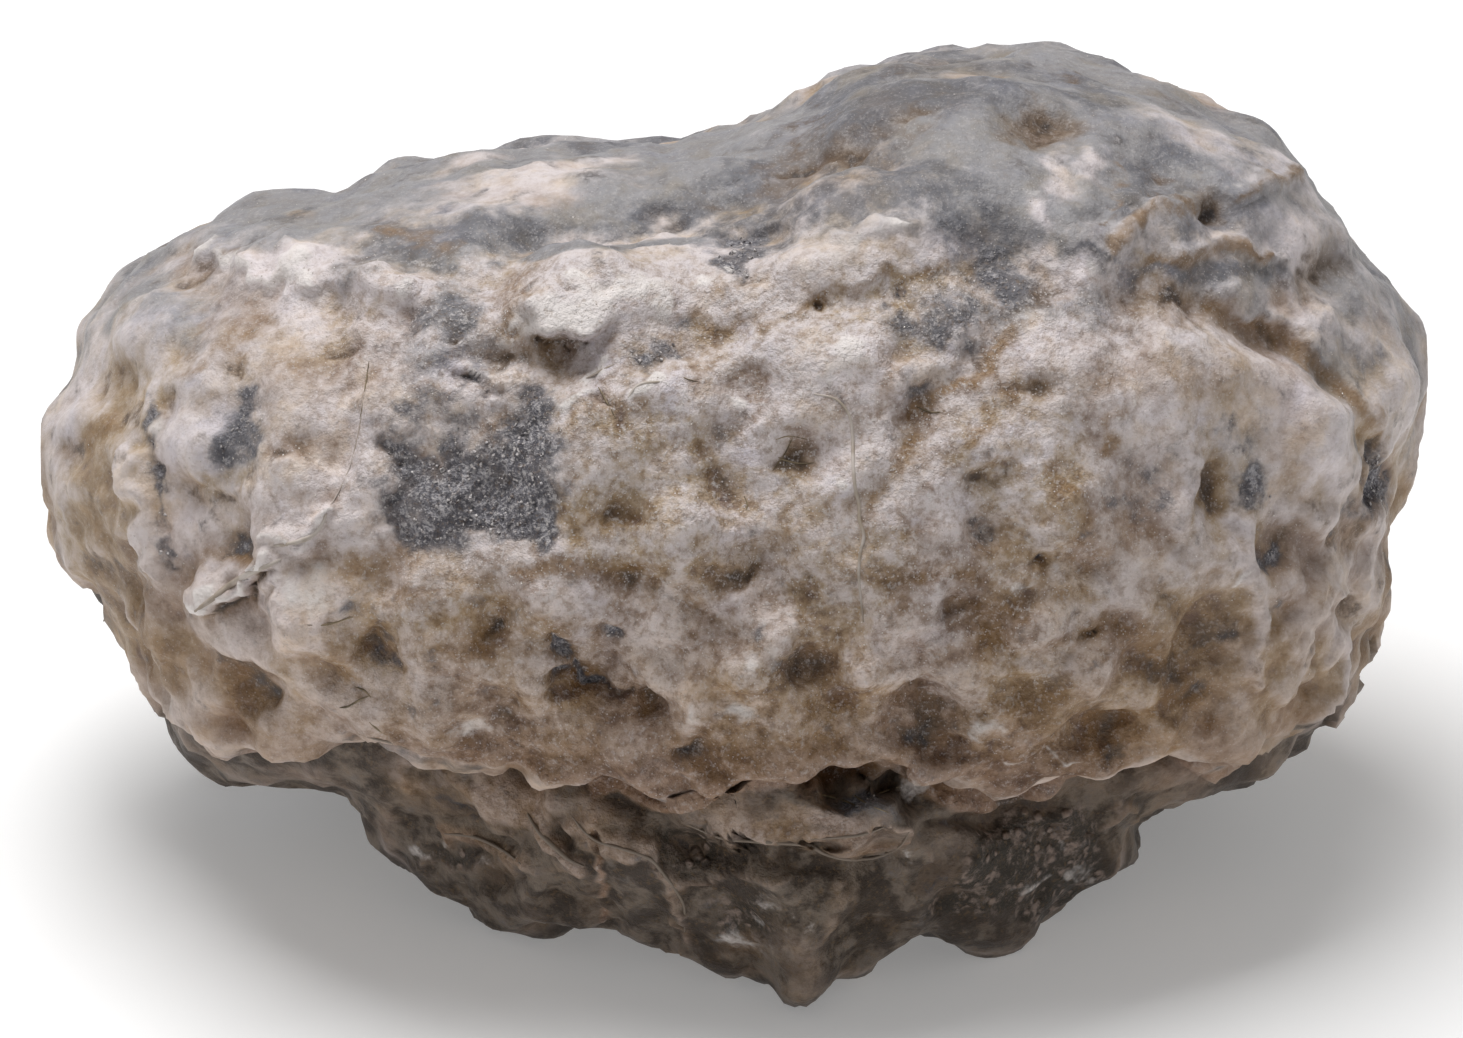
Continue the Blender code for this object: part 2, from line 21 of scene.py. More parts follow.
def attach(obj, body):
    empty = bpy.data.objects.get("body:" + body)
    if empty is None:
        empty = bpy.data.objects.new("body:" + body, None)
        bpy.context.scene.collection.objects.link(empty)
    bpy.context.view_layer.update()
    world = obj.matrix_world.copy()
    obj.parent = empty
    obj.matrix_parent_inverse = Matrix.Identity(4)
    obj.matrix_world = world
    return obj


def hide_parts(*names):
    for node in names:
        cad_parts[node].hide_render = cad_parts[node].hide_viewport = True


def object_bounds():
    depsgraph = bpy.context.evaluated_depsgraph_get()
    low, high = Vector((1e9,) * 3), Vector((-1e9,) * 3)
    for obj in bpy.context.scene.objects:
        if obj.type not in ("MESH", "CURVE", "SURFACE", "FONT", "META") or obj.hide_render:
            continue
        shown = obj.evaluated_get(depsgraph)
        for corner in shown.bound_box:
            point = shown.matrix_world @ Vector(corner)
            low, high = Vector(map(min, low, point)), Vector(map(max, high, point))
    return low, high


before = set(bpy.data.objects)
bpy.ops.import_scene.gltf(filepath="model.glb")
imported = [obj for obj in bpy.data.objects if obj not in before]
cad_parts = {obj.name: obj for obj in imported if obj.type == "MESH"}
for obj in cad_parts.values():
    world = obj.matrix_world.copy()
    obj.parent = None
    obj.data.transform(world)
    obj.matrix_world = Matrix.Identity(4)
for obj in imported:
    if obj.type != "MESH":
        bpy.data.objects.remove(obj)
MM = 0.001
solid_box = [list(corner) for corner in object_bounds()]
BOX_LOW, BOX_HIGH = (np.array(corner) / MM for corner in solid_box)
print("The solid measures", np.round(BOX_HIGH - BOX_LOW, 2), "mm")

# %% [markdown]
# ## The show face
# The side that we look at leans back 30 degrees from upright. Almost all the marks on the stone are
# easiest to place on that face, so we give it its own axes: u to the right, v up along the face, and
# w straight out of it, towards the viewer. The camera looks along w, through a long lens, so that the
# face is drawn almost without perspective and one step in u or v is the same everywhere.

# %% Axes of the show face
FACE_TILT = math.radians(30)
FACE_MIDDLE = np.array((-0.03, -2.2, 11.2))
FACE_RIGHT = np.array((1.0, 0.0, 0.0))
FACE_UP = np.array((0.0, math.sin(FACE_TILT), math.cos(FACE_TILT)))
FACE_OUT = np.array((0.0, -math.cos(FACE_TILT), math.sin(FACE_TILT)))
FACE_AXES = np.stack([FACE_RIGHT, FACE_UP, FACE_OUT])


def on_face(points):
    """The u, v and w of points given in millimetres."""
    return (points - FACE_MIDDLE) @ FACE_AXES.T


def new_object(name, data):
    """An object of this name that shows this data, put into the scene."""
    made = bpy.data.objects.new(name, data)
    bpy.context.scene.collection.objects.link(made)
    return made


print("The show face leans back", round(math.degrees(FACE_TILT)), "degrees")

# %% The camera
VIEW_WIDTH = 42.08
VIEW_MIDDLE = (-0.058, 0.043)
LENS, SENSOR = 800, 36
CAMERA_AWAY = VIEW_WIDTH * LENS / SENSOR

camera_data = bpy.data.cameras.new("camera")
camera_data.lens = LENS
camera_data.sensor_width = SENSOR
camera_data.clip_end = 10
camera = new_object("camera", camera_data)
aim = FACE_MIDDLE + VIEW_MIDDLE[0] * FACE_RIGHT + VIEW_MIDDLE[1] * FACE_UP
camera.location = (aim + FACE_OUT * CAMERA_AWAY) * MM
camera.rotation_euler = Matrix(FACE_AXES).transposed().to_euler()
bpy.context.scene.camera = camera
print("The camera stands", round(CAMERA_AWAY), "mm away")

# %% [markdown]
# ## A finer skin
# The solid has about nine thousand triangles, which is too coarse for pits the size of a pinhead. We
# could subdivide it, but that spends as many faces on the hidden back as on the show face. Instead we
# cut a cube into small cells, and each of their corners sends a ray to the heart of the stone. Where
# the ray meets a smoothed copy of the solid, it leaves a point of the new skin. Leaning the directions
# towards the show face makes the cells small there and large behind.

# %% A smoothed copy of the solid
JOIN_DISTANCE = 0.002
FLAT_ENOUGH, SQUARE_ENOUGH = math.radians(50), math.radians(70)


def smoothed_solid():
    """A copy of the calyx with its corners joined and rounded, ready for rays."""
    rounded = bmesh.new()
    rounded.from_mesh(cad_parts["calyx"].data)
    bmesh.ops.remove_doubles(rounded, verts=rounded.verts, dist=JOIN_DISTANCE * MM)
    bmesh.ops.join_triangles(
        rounded, faces=rounded.faces,
        angle_face_threshold=FLAT_ENOUGH, angle_shape_threshold=SQUARE_ENOUGH,
    )
    mesh = bpy.data.meshes.new("rounded")
    rounded.to_mesh(mesh)
    rounded.free()
    print("The smoothed copy grows from", len(mesh.polygons), "faces")
    helper = new_object("rounded", mesh)
    subdivision = helper.modifiers.new("subdivision", "SUBSURF")
    subdivision.levels = subdivision.render_levels = 2
    graph = bpy.context.evaluated_depsgraph_get()
    tree = BVHTree.FromObject(helper, graph)
    bpy.data.objects.remove(helper)
    return tree


solid_tree = smoothed_solid()

# %% Shoot the skin onto it
CELLS = 128
LEAN_TO_FACE = (0.0, -0.06, 0.55)
STONE_SHAPE = (20, 13.5, 13)
HEART = FACE_MIDDLE + np.array((0, 2.5, 0.0))
FAR_OUTSIDE = 60


def cube_skin():
    """A cube cut into cells, as a mesh, and the direction of each corner on the face's axes."""
    cube = bmesh.new()
    bmesh.ops.create_cube(cube, size=2)
    bmesh.ops.subdivide_edges(cube, edges=cube.edges, cuts=CELLS - 1, use_grid_fill=True)
    mesh = bpy.data.meshes.new("stone")
    cube.to_mesh(mesh)
    cube.free()
    direction = np.tan(np.array([v.co for v in mesh.vertices]) * math.pi / 4)
    direction /= np.linalg.norm(direction, axis=1, keepdims=True)
    direction += LEAN_TO_FACE
    return mesh, direction * STONE_SHAPE


def shoot(direction):
    """Where rays from far outside, aimed at the heart of the stone, meet the smoothed solid."""
    rays = direction @ FACE_AXES
    rays /= np.linalg.norm(rays, axis=1, keepdims=True)
    met = []
    for ray in rays:
        start = HEART + ray * FAR_OUTSIDE
        spot, _, _, _ = solid_tree.ray_cast(Vector(start * MM), Vector(-ray))
        met.append(spot)
    return np.array(met) / MM


stone_mesh, skin_direction = cube_skin()
skin = shoot(skin_direction)
print("The skin has", len(skin), "points and", 2 * len(stone_mesh.polygons), "triangles")

# %% [markdown]
# Four helpers do the sculpting. One blurs any value over the surface, by averaging each point with
# its neighbours. One puts the points into the mesh and reads back which way the surface faces. One
# turns a value into a smooth step from 0 to 1. One gives smooth noise of a chosen size, which stands
# in for all that weather does by chance.

# %% Sculpting helpers
NOISE_STEP = 17.3
edge_ends = np.array([edge.vertices[:] for edge in stone_mesh.edges]).T
neighbours = np.bincount(edge_ends.ravel(), minlength=len(skin))


def blurred(values, passes):
    """The values of the points, each averaged with its neighbours so many times."""
    columns = values.reshape(len(skin), -1).T.copy()
    for _ in range(passes):
        for k, column in enumerate(columns):
            swapped = np.concatenate([column[edge_ends[1]], column[edge_ends[0]]])
            around = np.bincount(edge_ends.ravel(), swapped, len(skin)) / neighbours
            columns[k] = 0.5 * column + 0.5 * around
    return columns.T.reshape(values.shape)


def place(points):
    """Puts the points into the stone's mesh, and returns the surface's outward directions there."""
    stone_mesh.vertices.foreach_set("co", (points * MM).astype(np.float32).ravel())
    stone_mesh.update()
    directions = np.zeros(len(points) * 3, np.float32)
    stone_mesh.vertex_normals.foreach_get("vector", directions)
    return directions.reshape(-1, 3).astype(float)


def smooth_step(low, high, value):
    """0 below low, 1 above high, and a smooth rise between them."""
    t = np.clip((value - low) / (high - low), 0, 1)
    return t * t * (3 - 2 * t)


def lumps(points, size, seed):
    """Smooth noise from about -0.7 to 0.7, with lumps of this size. Each seed reads it elsewhere."""
    return np.array([noise.noise(Vector(p)) for p in points / size + seed * NOISE_STEP])


# %% [markdown]
# Only the show face takes the drawn marks, so we also need to know which points belong to it. A point
# shows where the surface, blurred to its broad shape, turns towards the viewer.

# %% Which points show
BROAD_BLUR = 30
skin = blurred(skin, 1)
outwards = place(skin)
broad_outwards = blurred(outwards, BROAD_BLUR)
broad_outwards /= np.linalg.norm(broad_outwards, axis=1, keepdims=True)
facing = broad_outwards @ FACE_OUT
shown = smooth_step(0.02, 0.3, facing)
hidden = 1 - shown
face = on_face(skin)
across, upward, above_floor = face[:, 0], face[:, 1], skin[:, 2]
print("Share of the points on the show side:", round(float(shown.mean()), 2))

# %% [markdown]
# ## Marks
# Every stain, pit and crust on the show face is one of two marks: a blot, which is an ellipse given
# by its middle, its two half sizes and its turn, or a streak, which is a line of points with a half
# width. Each ends in its strength, from 0 to 1. They could be painted on an image instead, but a mark
# made of a few numbers is easy to move, and it can both shape and colour the stone. Real marks have
# ragged edges, so we look them up at points that noise has pushed a little sideways.

# %% Helpers for blots and streaks
PUSH, FINE_PUSH = 0.45, 0.25
wobble = np.stack([lumps(skin, 1.1, seed) for seed in (1, 2)], 1)
fine_wobble = np.stack([lumps(skin, 0.45, seed) for seed in (3, 4)], 1)
marked_at = face[:, :2] + PUSH * wobble + FINE_PUSH * fine_wobble


def blots(marks, core=0.5, reach=1.4):
    """How strongly the blots mark each point: full inside the core, none beyond the reach.

    Both are given in half sizes of the blot.
    """
    left_out = np.ones(len(skin))
    for u, v, half_width, half_height, turn, strength in marks:
        right, up = (marked_at - (u, v)).T
        near = np.hypot(right, up) < reach * max(half_width, half_height)
        sin, cos = math.sin(math.radians(turn)), math.cos(math.radians(turn))
        right, up = right[near], up[near]
        away = np.hypot((right * cos + up * sin) / half_width, (up * cos - right * sin) / half_height)
        left_out[near] *= 1 - strength * smooth_step(reach, core, away)
    return (1 - left_out) * shown


def from_line(points, line):
    """Signed distance of each point from a line, positive above a line drawn left to right."""
    signed = np.full(len(points), 1e9)
    corners = np.array(line, float)
    for start, end in zip(corners[:-1], corners[1:]):
        along = end - start
        share = np.clip((points - start) @ along / (along @ along), 0, 1)
        apart = points - (start + share[:, None] * along)
        distance = np.hypot(*apart.T)
        side = np.where(along[0] * apart[:, 1] >= along[1] * apart[:, 0], 1, -1)
        signed = np.where(distance < np.abs(signed), distance * side, signed)
    return signed


def streaks(marks, core=0.3, reach=1.5):
    """The same for streaks, in half widths from the line."""
    left_out = np.ones(len(skin))
    for line, half_width, strength in marks:
        corners = np.array(line)
        low, high = corners.min(0) - reach * half_width, corners.max(0) + reach * half_width
        near = np.all((marked_at > low) & (marked_at < high), axis=1)
        away = np.abs(from_line(marked_at[near], line)) / half_width
        left_out[near] *= 1 - strength * smooth_step(reach, core, away)
    return (1 - left_out) * shown


# %% [markdown]
# ### Grey rock
# The calyx was bedded in a dark grey limestone mud full of crystal grains. It is still there where
# the weather could not reach: a large patch left of the middle, the saddle behind the brow, and a
# scatter of small hollows.

# %% Where the grey rock is left
ROCK_BLOTS = [
    (-8.5, 0.7, 1.3, 1.1, 0, 0.95), (-7.3, 1.6, 1.3, 0.9, 20, 0.75), (-6.0, 0.3, 1.0, 0.6, 0, 0.9),
    (-8.8, -0.4, 0.8, 0.5, 0, 0.8), (-7.2, 0.3, 1.0, 0.7, 0, 0.9), (-9.3, 1.9, 0.6, 0.5, 60, 0.7),
    (-9.2, 3.0, 0.5, 0.5, 40, 0.4), (-7.2, 3.8, 0.8, 0.25, 0, 0.5), (-5.9, 2.3, 0.8, 0.6, 30, 0.55),
    (-5.2, 0.0, 0.5, 0.3, 0, 0.6), (-9.6, 0.1, 0.3, 0.5, 0, 0.5), (-8.0, 2.6, 0.7, 0.4, 0, 0.45),
    (-1.7, 8.7, 1.5, 0.35, 6, 0.3), (7.6, 7.1, 1.2, 0.8, 0, 0.45), (6.9, 8.4, 1.5, 1.0, -20, 0.2),
    (0.2, 7.6, 0.7, 0.5, 0, 0.8), (5.0, 6.0, 0.6, 0.5, 0, 0.5), (6.4, 5.3, 0.8, 0.5, 20, 0.65),
    (5.3, 3.6, 0.5, 0.3, 0, 0.4), (-2.1, 4.7, 0.65, 0.45, 10, 0.65), (-1.3, 5.4, 0.5, 0.3, 0, 0.45),
    (11.75, 0.9, 1.1, 1.0, 0, 0.3), (13.9, 2.7, 0.7, 0.25, 0, 0.5), (14.9, 1.1, 0.25, 1.0, 8, 0.6),
    (14.4, 2.2, 0.3, 0.3, 0, 0.4), (-14.4, -0.8, 0.3, 0.25, 0, 0.4), (-4.75, -4.35, 0.3, 0.18, 0, 0.8),
    (8.1, -1.8, 0.3, 0.25, 0, 0.4), (7.1, -0.3, 0.3, 0.25, 0, 0.7), (8.85, -1.15, 0.2, 0.2, 0, 0.8),
    (15.3, -1.1, 0.4, 0.4, 0, 0.7), (-5.8, 1.0, 0.8, 1.2, 0, 0.9), (-6.0, 2.6, 0.8, 0.7, 30, 0.7),
    (-5.4, -0.2, 0.5, 0.5, 0, 0.8), (-5.9, 3.4, 0.5, 0.4, 0, 0.5), (-9.9, -4.0, 0.3, 0.3, 0, 0.6),
    (-11.25, -2.6, 0.25, 0.2, 0, 0.4), (6.9, 1.3, 0.3, 0.15, 0, 0.4), (-3.4, -3.3, 0.35, 0.3, 0, 0.7),
    (3.6, -8.0, 0.9, 0.3, -10, 0.7),
]
ROCK_STREAKS = [
    ([(-17.0, 3.6), (-16.7, 1.6), (-16.4, 0.4), (-16.2, -1.2)], 0.16, 0.55),
    ([(-13.7, 3.5), (-14.2, 2.5), (-14.8, 1.4)], 0.35, 0.55),
    ([(18.4, 1.8), (18.5, 1.0), (18.2, 0.2)], 0.3, 0.9),
    ([(-5.0, -3.5), (-4.6, -3.9), (-4.1, -4.5), (-3.5, -4.85)], 0.14, 0.8),
]
rock = np.maximum(blots(ROCK_BLOTS, 0.0, 1.8), streaks(ROCK_STREAKS, 0.0, 2.0))
print("Grey rock covers", round(100 * float((rock > 0.5).mean()), 1), "% of the points")

# %% [markdown]
# Round the patches, and over most of the saddle and the hump, the rock shows only as an ash-grey
# tint under a thin film, and as darker slate where the film is thinnest. Both are wide and soft, so
# their blots have a small core or none.

# %% The ash and slate tints
ASH_BLOTS = [
    (6.0, 12.0, 7.5, 3.0, -3, 1), (14.5, 8.5, 5.5, 2.6, -35, 1), (0.0, 10.2, 5.0, 1.5, 15, 1),
    (8.5, 9.5, 4.5, 2.5, 0, 1), (-4.0, 8.9, 5.0, 0.8, 12, 0.9), (-11.0, 9.0, 5.0, 0.9, 12, 0.8),
    (-12.5, 7.4, 5.5, 1.9, 8, 0.55), (-8.0, 4.6, 2.6, 1.3, 0, 0.45), (-8.2, 4.3, 1.7, 1.5, 30, 0.5),
    (-7.6, 0.8, 2.8, 2.3, 0, 0.5), (17.2, 5.0, 1.6, 2.4, -15, 0.7), (-14.2, 5.9, 1.8, 0.8, 15, 0.4),
    (-17.0, 6.2, 1.8, 1.6, 0, 0.4), (14.4, 1.6, 1.6, 1.8, 0, 0.4), (-14.3, 2.2, 1.0, 1.7, -25, 0.5),
    (7.5, 5.8, 2.2, 1.0, 0, 0.5), (11.5, 5.0, 2.2, 1.3, 0, 0.35), (-8.4, 8.0, 2.4, 0.9, 8, 1),
    (-8.2, 6.2, 1.0, 0.9, 0, 0.7), (0.5, 8.3, 2.5, 0.6, 8, 0.5), (10.2, 6.1, 1.2, 0.7, 0, 0.6),
    (6.0, 13.0, 6.0, 1.0, 0, 1), (8.0, 6.1, 1.0, 0.6, 0, 0.5), (3.2, 8.3, 2.0, 0.6, 8, 0.5),
    (-15.5, 6.0, 1.6, 1.0, 0, 0.4), (-6.3, 8.2, 1.6, 0.8, 8, 0.8), (18.2, 6.0, 0.8, 1.0, 0, 0.6),
    (4.2, 12.2, 1.8, 1.0, 15, 1), (10.2, 12.3, 1.6, 0.8, -10, 0.8), (3.0, 10.6, 2.2, 0.9, 20, 0.6),
    (16.3, 4.0, 0.9, 0.8, 0, 0.4),
]
SLATE_BLOTS = [
    (4.2, 12.0, 1.6, 0.9, 15, 1), (6.3, 12.2, 1.8, 0.7, 0, 0.6), (3.8, 10.4, 1.2, 0.5, 10, 0.5),
    (0.3, 10.0, 1.0, 0.4, 10, 0.5), (10.3, 12.3, 1.3, 0.6, -15, 0.6), (-6.0, 8.3, 1.4, 0.6, 8, 0.6),
    (-10.0, 8.1, 1.2, 0.5, 8, 0.5), (-8.2, 6.0, 0.9, 0.7, 0, 0.4), (0.2, 8.2, 1.4, 0.6, 8, 0.5),
    (3.5, 12.3, 2.4, 0.8, 15, 0.7), (6.4, 12.8, 2.2, 0.6, 0, 0.6), (9.6, 12.5, 1.6, 0.6, -10, 0.5),
    (-8.5, 8.0, 2.6, 0.8, 8, 0.6), (0.3, 7.9, 1.5, 0.6, 8, 0.5), (1.5, 10.3, 2.5, 0.8, 20, 0.45),
    (-8.2, 5.9, 0.9, 0.7, 0, 0.5), (5.0, 9.9, 1.4, 0.5, 0, 0.4), (6.8, 8.1, 2.1, 1.8, -30, 0.7),
    (3.4, 9.2, 3.2, 0.9, 8, 0.75), (-1.4, 8.9, 2.6, 0.55, 10, 0.8), (-5.4, 8.3, 1.8, 0.4, 12, 0.4),
    (8.1, 6.8, 1.3, 0.6, -25, 0.9), (5.6, 5.7, 1.3, 0.7, 20, 0.8), (9.8, 12.8, 1.0, 0.45, -15, 0.6),
    (13.6, 8.6, 1.8, 0.55, 15, 0.6), (12.4, 7.15, 2.3, 0.45, 0, 0.8), (16.4, 6.2, 1.7, 0.8, -40, 0.4),
    (11.3, 9.2, 0.9, 0.8, 40, 0.6), (2.0, 10.5, 1.1, 0.4, 25, 0.7), (4.9, 11.7, 0.9, 0.35, 20, 0.5),
    (5.5, 13.0, 2.4, 0.4, 5, 0.35), (12.6, 10.6, 1.4, 0.5, -30, 0.35), (-8.9, 3.8, 1.0, 1.1, 0, 0.45),
    (-7.2, 4.7, 1.6, 0.5, 8, 0.55), (-5.8, 2.7, 1.0, 0.9, 0, 0.5), (-14.3, 2.4, 0.5, 1.3, -28, 1),
    (-8.6, 8.2, 1.4, 0.4, 10, 0.6), (-18.0, -1.3, 0.3, 0.3, 0, 0.7), (-6.0, 2.4, 0.9, 1.4, 20, 0.7),
    (14.4, 6.95, 0.7, 0.25, 0, 0.6), (12.2, 10.0, 1.0, 0.5, 25, 0.6), (15.0, 10.6, 1.2, 0.4, -35, 0.3),
    (10.6, 11.1, 1.0, 0.3, -10, 0.35), (18.2, 4.6, 0.6, 0.9, -20, 0.5),
    (12.3, 9.35, 0.9, 0.22, 25, 0.8), (13.6, 8.3, 1.4, 0.2, 5, 0.4), (10.5, 7.75, 0.9, 0.16, 0, 0.9),
    (14.2, 7.2, 2.0, 0.22, 0, 0.4), (15.1, 8.8, 0.5, 0.4, 0, 0.4), (18.2, 0.4, 0.6, 1.3, 0, 0.6),
    (11.7, 10.1, 0.6, 0.4, 20, 0.6), (8.2, 12.9, 1.0, 0.4, 0, 0.6), (4.3, 11.0, 0.8, 0.4, 20, 0.7),
]
ash = blots(ASH_BLOTS, 0.2, 1.4)
slate = blots(SLATE_BLOTS, 0.0, 1.7)
print("Tint marks:", len(ASH_BLOTS), "ash and", len(SLATE_BLOTS), "slate")

# %% [markdown]
# ### Hollows
# Between the knobs lie small dark hollows, brown at their edges. They are the places where the lime
# film never closed, and they give the surface its spotted look. Their nearly black colour is partly
# painted shade, standing for the shade that falls into each pit.

# %% Dark hollows
HOLLOWS = [
    # the brow
    (-4.6, 7.0, 0.16, 0.14, 0, 0.8), (-3.7, 6.85, 0.16, 0.16, 0, 0.8), (-6.5, 4.9, 0.3, 0.25, 0, 0.8),
    (-8.2, 5.3, 0.25, 0.2, 0, 0.8), (-7.3, 3.85, 0.3, 0.16, -10, 0.9), (-5.6, 6.4, 0.25, 0.15, 30, 0.7),
    (0.5, 7.0, 0.3, 0.25, 0, 0.7), (2.25, 6.15, 0.12, 0.12, 0, 1), (7.8, 6.1, 0.5, 0.25, 20, 0.6),
    # left side
    (-15.4, 7.1, 0.6, 0.4, 30, 0.6), (-11.4, 6.1, 0.4, 0.25, 0, 0.4), (-11.2, 4.9, 0.35, 0.25, 0, 0.65),
    (-17.9, 4.1, 0.5, 0.35, 40, 0.6), (-17.7, 3.1, 0.4, 0.35, 0, 0.6), (-16.4, 3.2, 0.3, 0.3, 0, 0.6),
    (-15.9, 4.95, 0.3, 0.3, 0, 0.5), (-14.2, 4.5, 0.35, 0.4, 0, 0.5), (-18.7, 2.1, 0.6, 0.3, 35, 0.6),
    (-18.6, 0.5, 0.5, 0.8, 0, 0.45), (-18.3, -1.6, 0.4, 0.6, 0, 0.7), (-18.2, -2.6, 0.35, 0.4, 0, 0.6),
    (-12.7, 2.0, 0.5, 0.25, 10, 0.8), (-13.6, 1.0, 0.5, 0.5, 0, 0.5), (-15.5, 0.7, 0.5, 0.35, 0, 0.5),
    (-14.4, -0.9, 0.4, 0.3, 0, 0.7), (-17.4, -2.0, 0.3, 1.0, 8, 0.5),
    (-14.0, -4.4, 0.55, 0.35, -30, 0.8), (-13.5, -4.95, 0.4, 0.25, -10, 0.9),
    (-10.3, -3.5, 0.5, 0.35, -20, 0.9), (-11.6, -4.4, 0.3, 0.25, 0, 0.6),
    # round the grey patch and the middle
    (-3.75, 3.5, 0.14, 0.5, 25, 0.9), (0.5, 3.9, 0.4, 0.3, 0, 0.6), (0.2, 2.9, 0.45, 0.3, 10, 0.7),
    (-0.4, 1.3, 0.45, 0.75, 20, 0.7), (-2.9, 0.9, 0.4, 0.35, 0, 0.55), (-3.4, -0.1, 0.5, 0.3, 0, 0.8),
    (-4.7, -0.3, 0.3, 0.25, 0, 0.6), (0.0, -1.3, 0.65, 0.35, 15, 0.85),
    (-2.9, -1.6, 0.55, 0.35, 0, 0.7), (1.6, -0.7, 0.45, 0.3, 0, 0.5), (2.1, -2.0, 0.35, 0.3, 0, 0.6),
    (1.6, 1.9, 0.5, 0.35, 10, 0.85), (-6.9, -3.2, 0.3, 0.28, 0, 0.95), (-3.3, -3.3, 0.35, 0.3, 0, 0.8),
    (2.1, -3.9, 0.8, 0.5, 10, 0.9), (-2.4, -5.4, 0.45, 0.3, -50, 0.85),
    (-1.2, -6.6, 0.4, 0.25, 0, 0.85), (-6.5, -5.5, 0.35, 0.3, 0, 0.7),
    (-4.75, -4.35, 0.35, 0.2, 0, 0.9), (-4.1, -4.5, 0.3, 0.3, 0, 0.9), (4.1, -1.6, 0.3, 0.4, 0, 0.5),
    (-0.9, -3.4, 0.5, 0.3, 20, 0.4),
    # right side
    (7.05, 1.35, 0.25, 0.2, 0, 0.85), (7.7, 1.25, 0.25, 0.2, 0, 0.85), (6.9, 4.6, 0.3, 0.2, 30, 0.6),
    (8.4, 3.7, 0.4, 0.3, 0, 0.6), (8.85, -1.2, 0.22, 0.22, 0, 0.9), (13.7, 1.1, 0.26, 0.65, 22, 0.9),
    (15.7, -0.7, 0.8, 0.35, -15, 0.7), (15.3, -1.2, 0.4, 0.35, 0, 0.5), (8.5, 3.7, 0.3, 0.2, 0, 0.6),
    (13.4, -5.0, 0.25, 0.2, 0, 0.6), (-1.35, -6.6, 0.15, 0.15, 0, 0.8),
    (13.8, -3.3, 0.9, 0.75, 0, 0.75), (12.4, -4.4, 0.5, 0.5, 0, 0.8), (13.1, -5.1, 0.5, 0.35, 0, 0.8),
    (10.4, -3.35, 0.16, 0.16, 0, 1), (12.3, -2.2, 0.4, 0.3, 0, 0.6), (6.0, -5.2, 0.5, 0.35, 0, 0.6),
    (10.6, -5.9, 0.55, 0.4, 0, 0.9), (11.2, -6.5, 0.5, 0.25, 10, 0.7), (17.8, -2.4, 0.4, 0.5, 0, 0.8),
    (5.4, -5.8, 0.65, 0.5, -10, 1), (8.9, -4.7, 0.5, 0.3, 0, 0.5), (6.9, -2.8, 0.4, 0.3, 0, 0.5),
    (8.4, -2.3, 0.3, 0.25, 0, 0.6), (16.9, 0.3, 0.35, 0.5, 0, 0.5), (17.8, -0.4, 0.3, 0.4, 0, 0.6),
    # behind the brow and on the hump
    (-1.9, 8.6, 0.4, 0.25, 0, 0.6), (-0.3, 9.1, 0.5, 0.3, 0, 0.6), (1.6, 10.15, 0.9, 0.32, 28, 1),
    (3.2, 10.6, 0.8, 0.25, 10, 0.9), (4.9, 11.45, 0.6, 0.3, 20, 0.95), (9.0, 11.3, 0.8, 0.4, 0, 1),
    (9.7, 13.0, 0.8, 0.35, 0, 0.7), (13.4, 9.05, 0.5, 0.35, 0, 1), (16.9, 7.3, 0.7, 0.35, 0, 0.75),
    (12.7, 6.3, 0.5, 0.35, 0, 0.85), (11.3, 6.4, 0.4, 0.3, 0, 0.6), (12.1, 9.7, 0.4, 0.35, 0, 0.6),
    (10.5, 8.5, 0.4, 0.3, 0, 0.6), (15.2, 5.3, 0.6, 0.35, -30, 0.6), (16.2, 6.4, 0.4, 0.3, 0, 0.6),
    (8.9, 6.5, 0.4, 0.3, 40, 0.75), (4.8, 13.0, 0.9, 0.3, 5, 0.5), (2.0, 11.2, 0.8, 0.4, 40, 0.6),
]
CRACKS = [
    ([(-5.5, 5.25), (-5.1, 5.0), (-4.8, 4.7)], 0.1, 1.0), ([(-4.8, 4.95), (-4.2, 4.95)], 0.09, 0.7),
    ([(-9.6, 2.2), (-9.3, 1.0), (-9.9, 0.0)], 0.12, 0.5),
    ([(-15.0, -2.65), (-14.4, -2.3), (-13.9, -2.05), (-13.2, -1.8)], 0.18, 0.9),
    ([(2.0, -7.7), (2.8, -7.75), (3.5, -8.0), (4.3, -7.5), (4.9, -7.4)], 0.18, 0.9),
    ([(18.3, 2.3), (18.45, 1.2), (18.2, 0.5)], 0.2, 0.9),
    ([(5.6, -4.9), (5.0, -5.4), (5.3, -6.2)], 0.2, 0.6),
    ([(-5.0, -3.5), (-4.6, -3.8), (-4.2, -4.4), (-3.6, -4.8), (-3.1, -4.9)], 0.15, 0.9),
    ([(-16.9, 2.4), (-16.6, 1.2), (-16.3, 0.0), (-16.1, -1.2)], 0.14, 0.4),
    ([(-15.9, 0.95), (-15.0, 1.05), (-14.8, 0.5)], 0.14, 0.6),
]
# Painted shade: the dark of these hollows and cracks stands partly for the shade inside them.
dark = np.maximum(blots(HOLLOWS, 0.0, 1.7), streaks(CRACKS))
sunk = np.maximum(blots(HOLLOWS, 0.2, 3.0), streaks(CRACKS, 0.3, 3.5))
print("Marks for hollows:", len(HOLLOWS), "blots and", len(CRACKS), "cracks")

# %% [markdown]
# ### Iron stain and clean crystal
# Iron in the mud has stained the film ochre, mostly along the flanks of the knobs and in the long
# creases. Elsewhere the film is scuffed down to clean calcite, which is cream on the brow and white
# in small flecks.

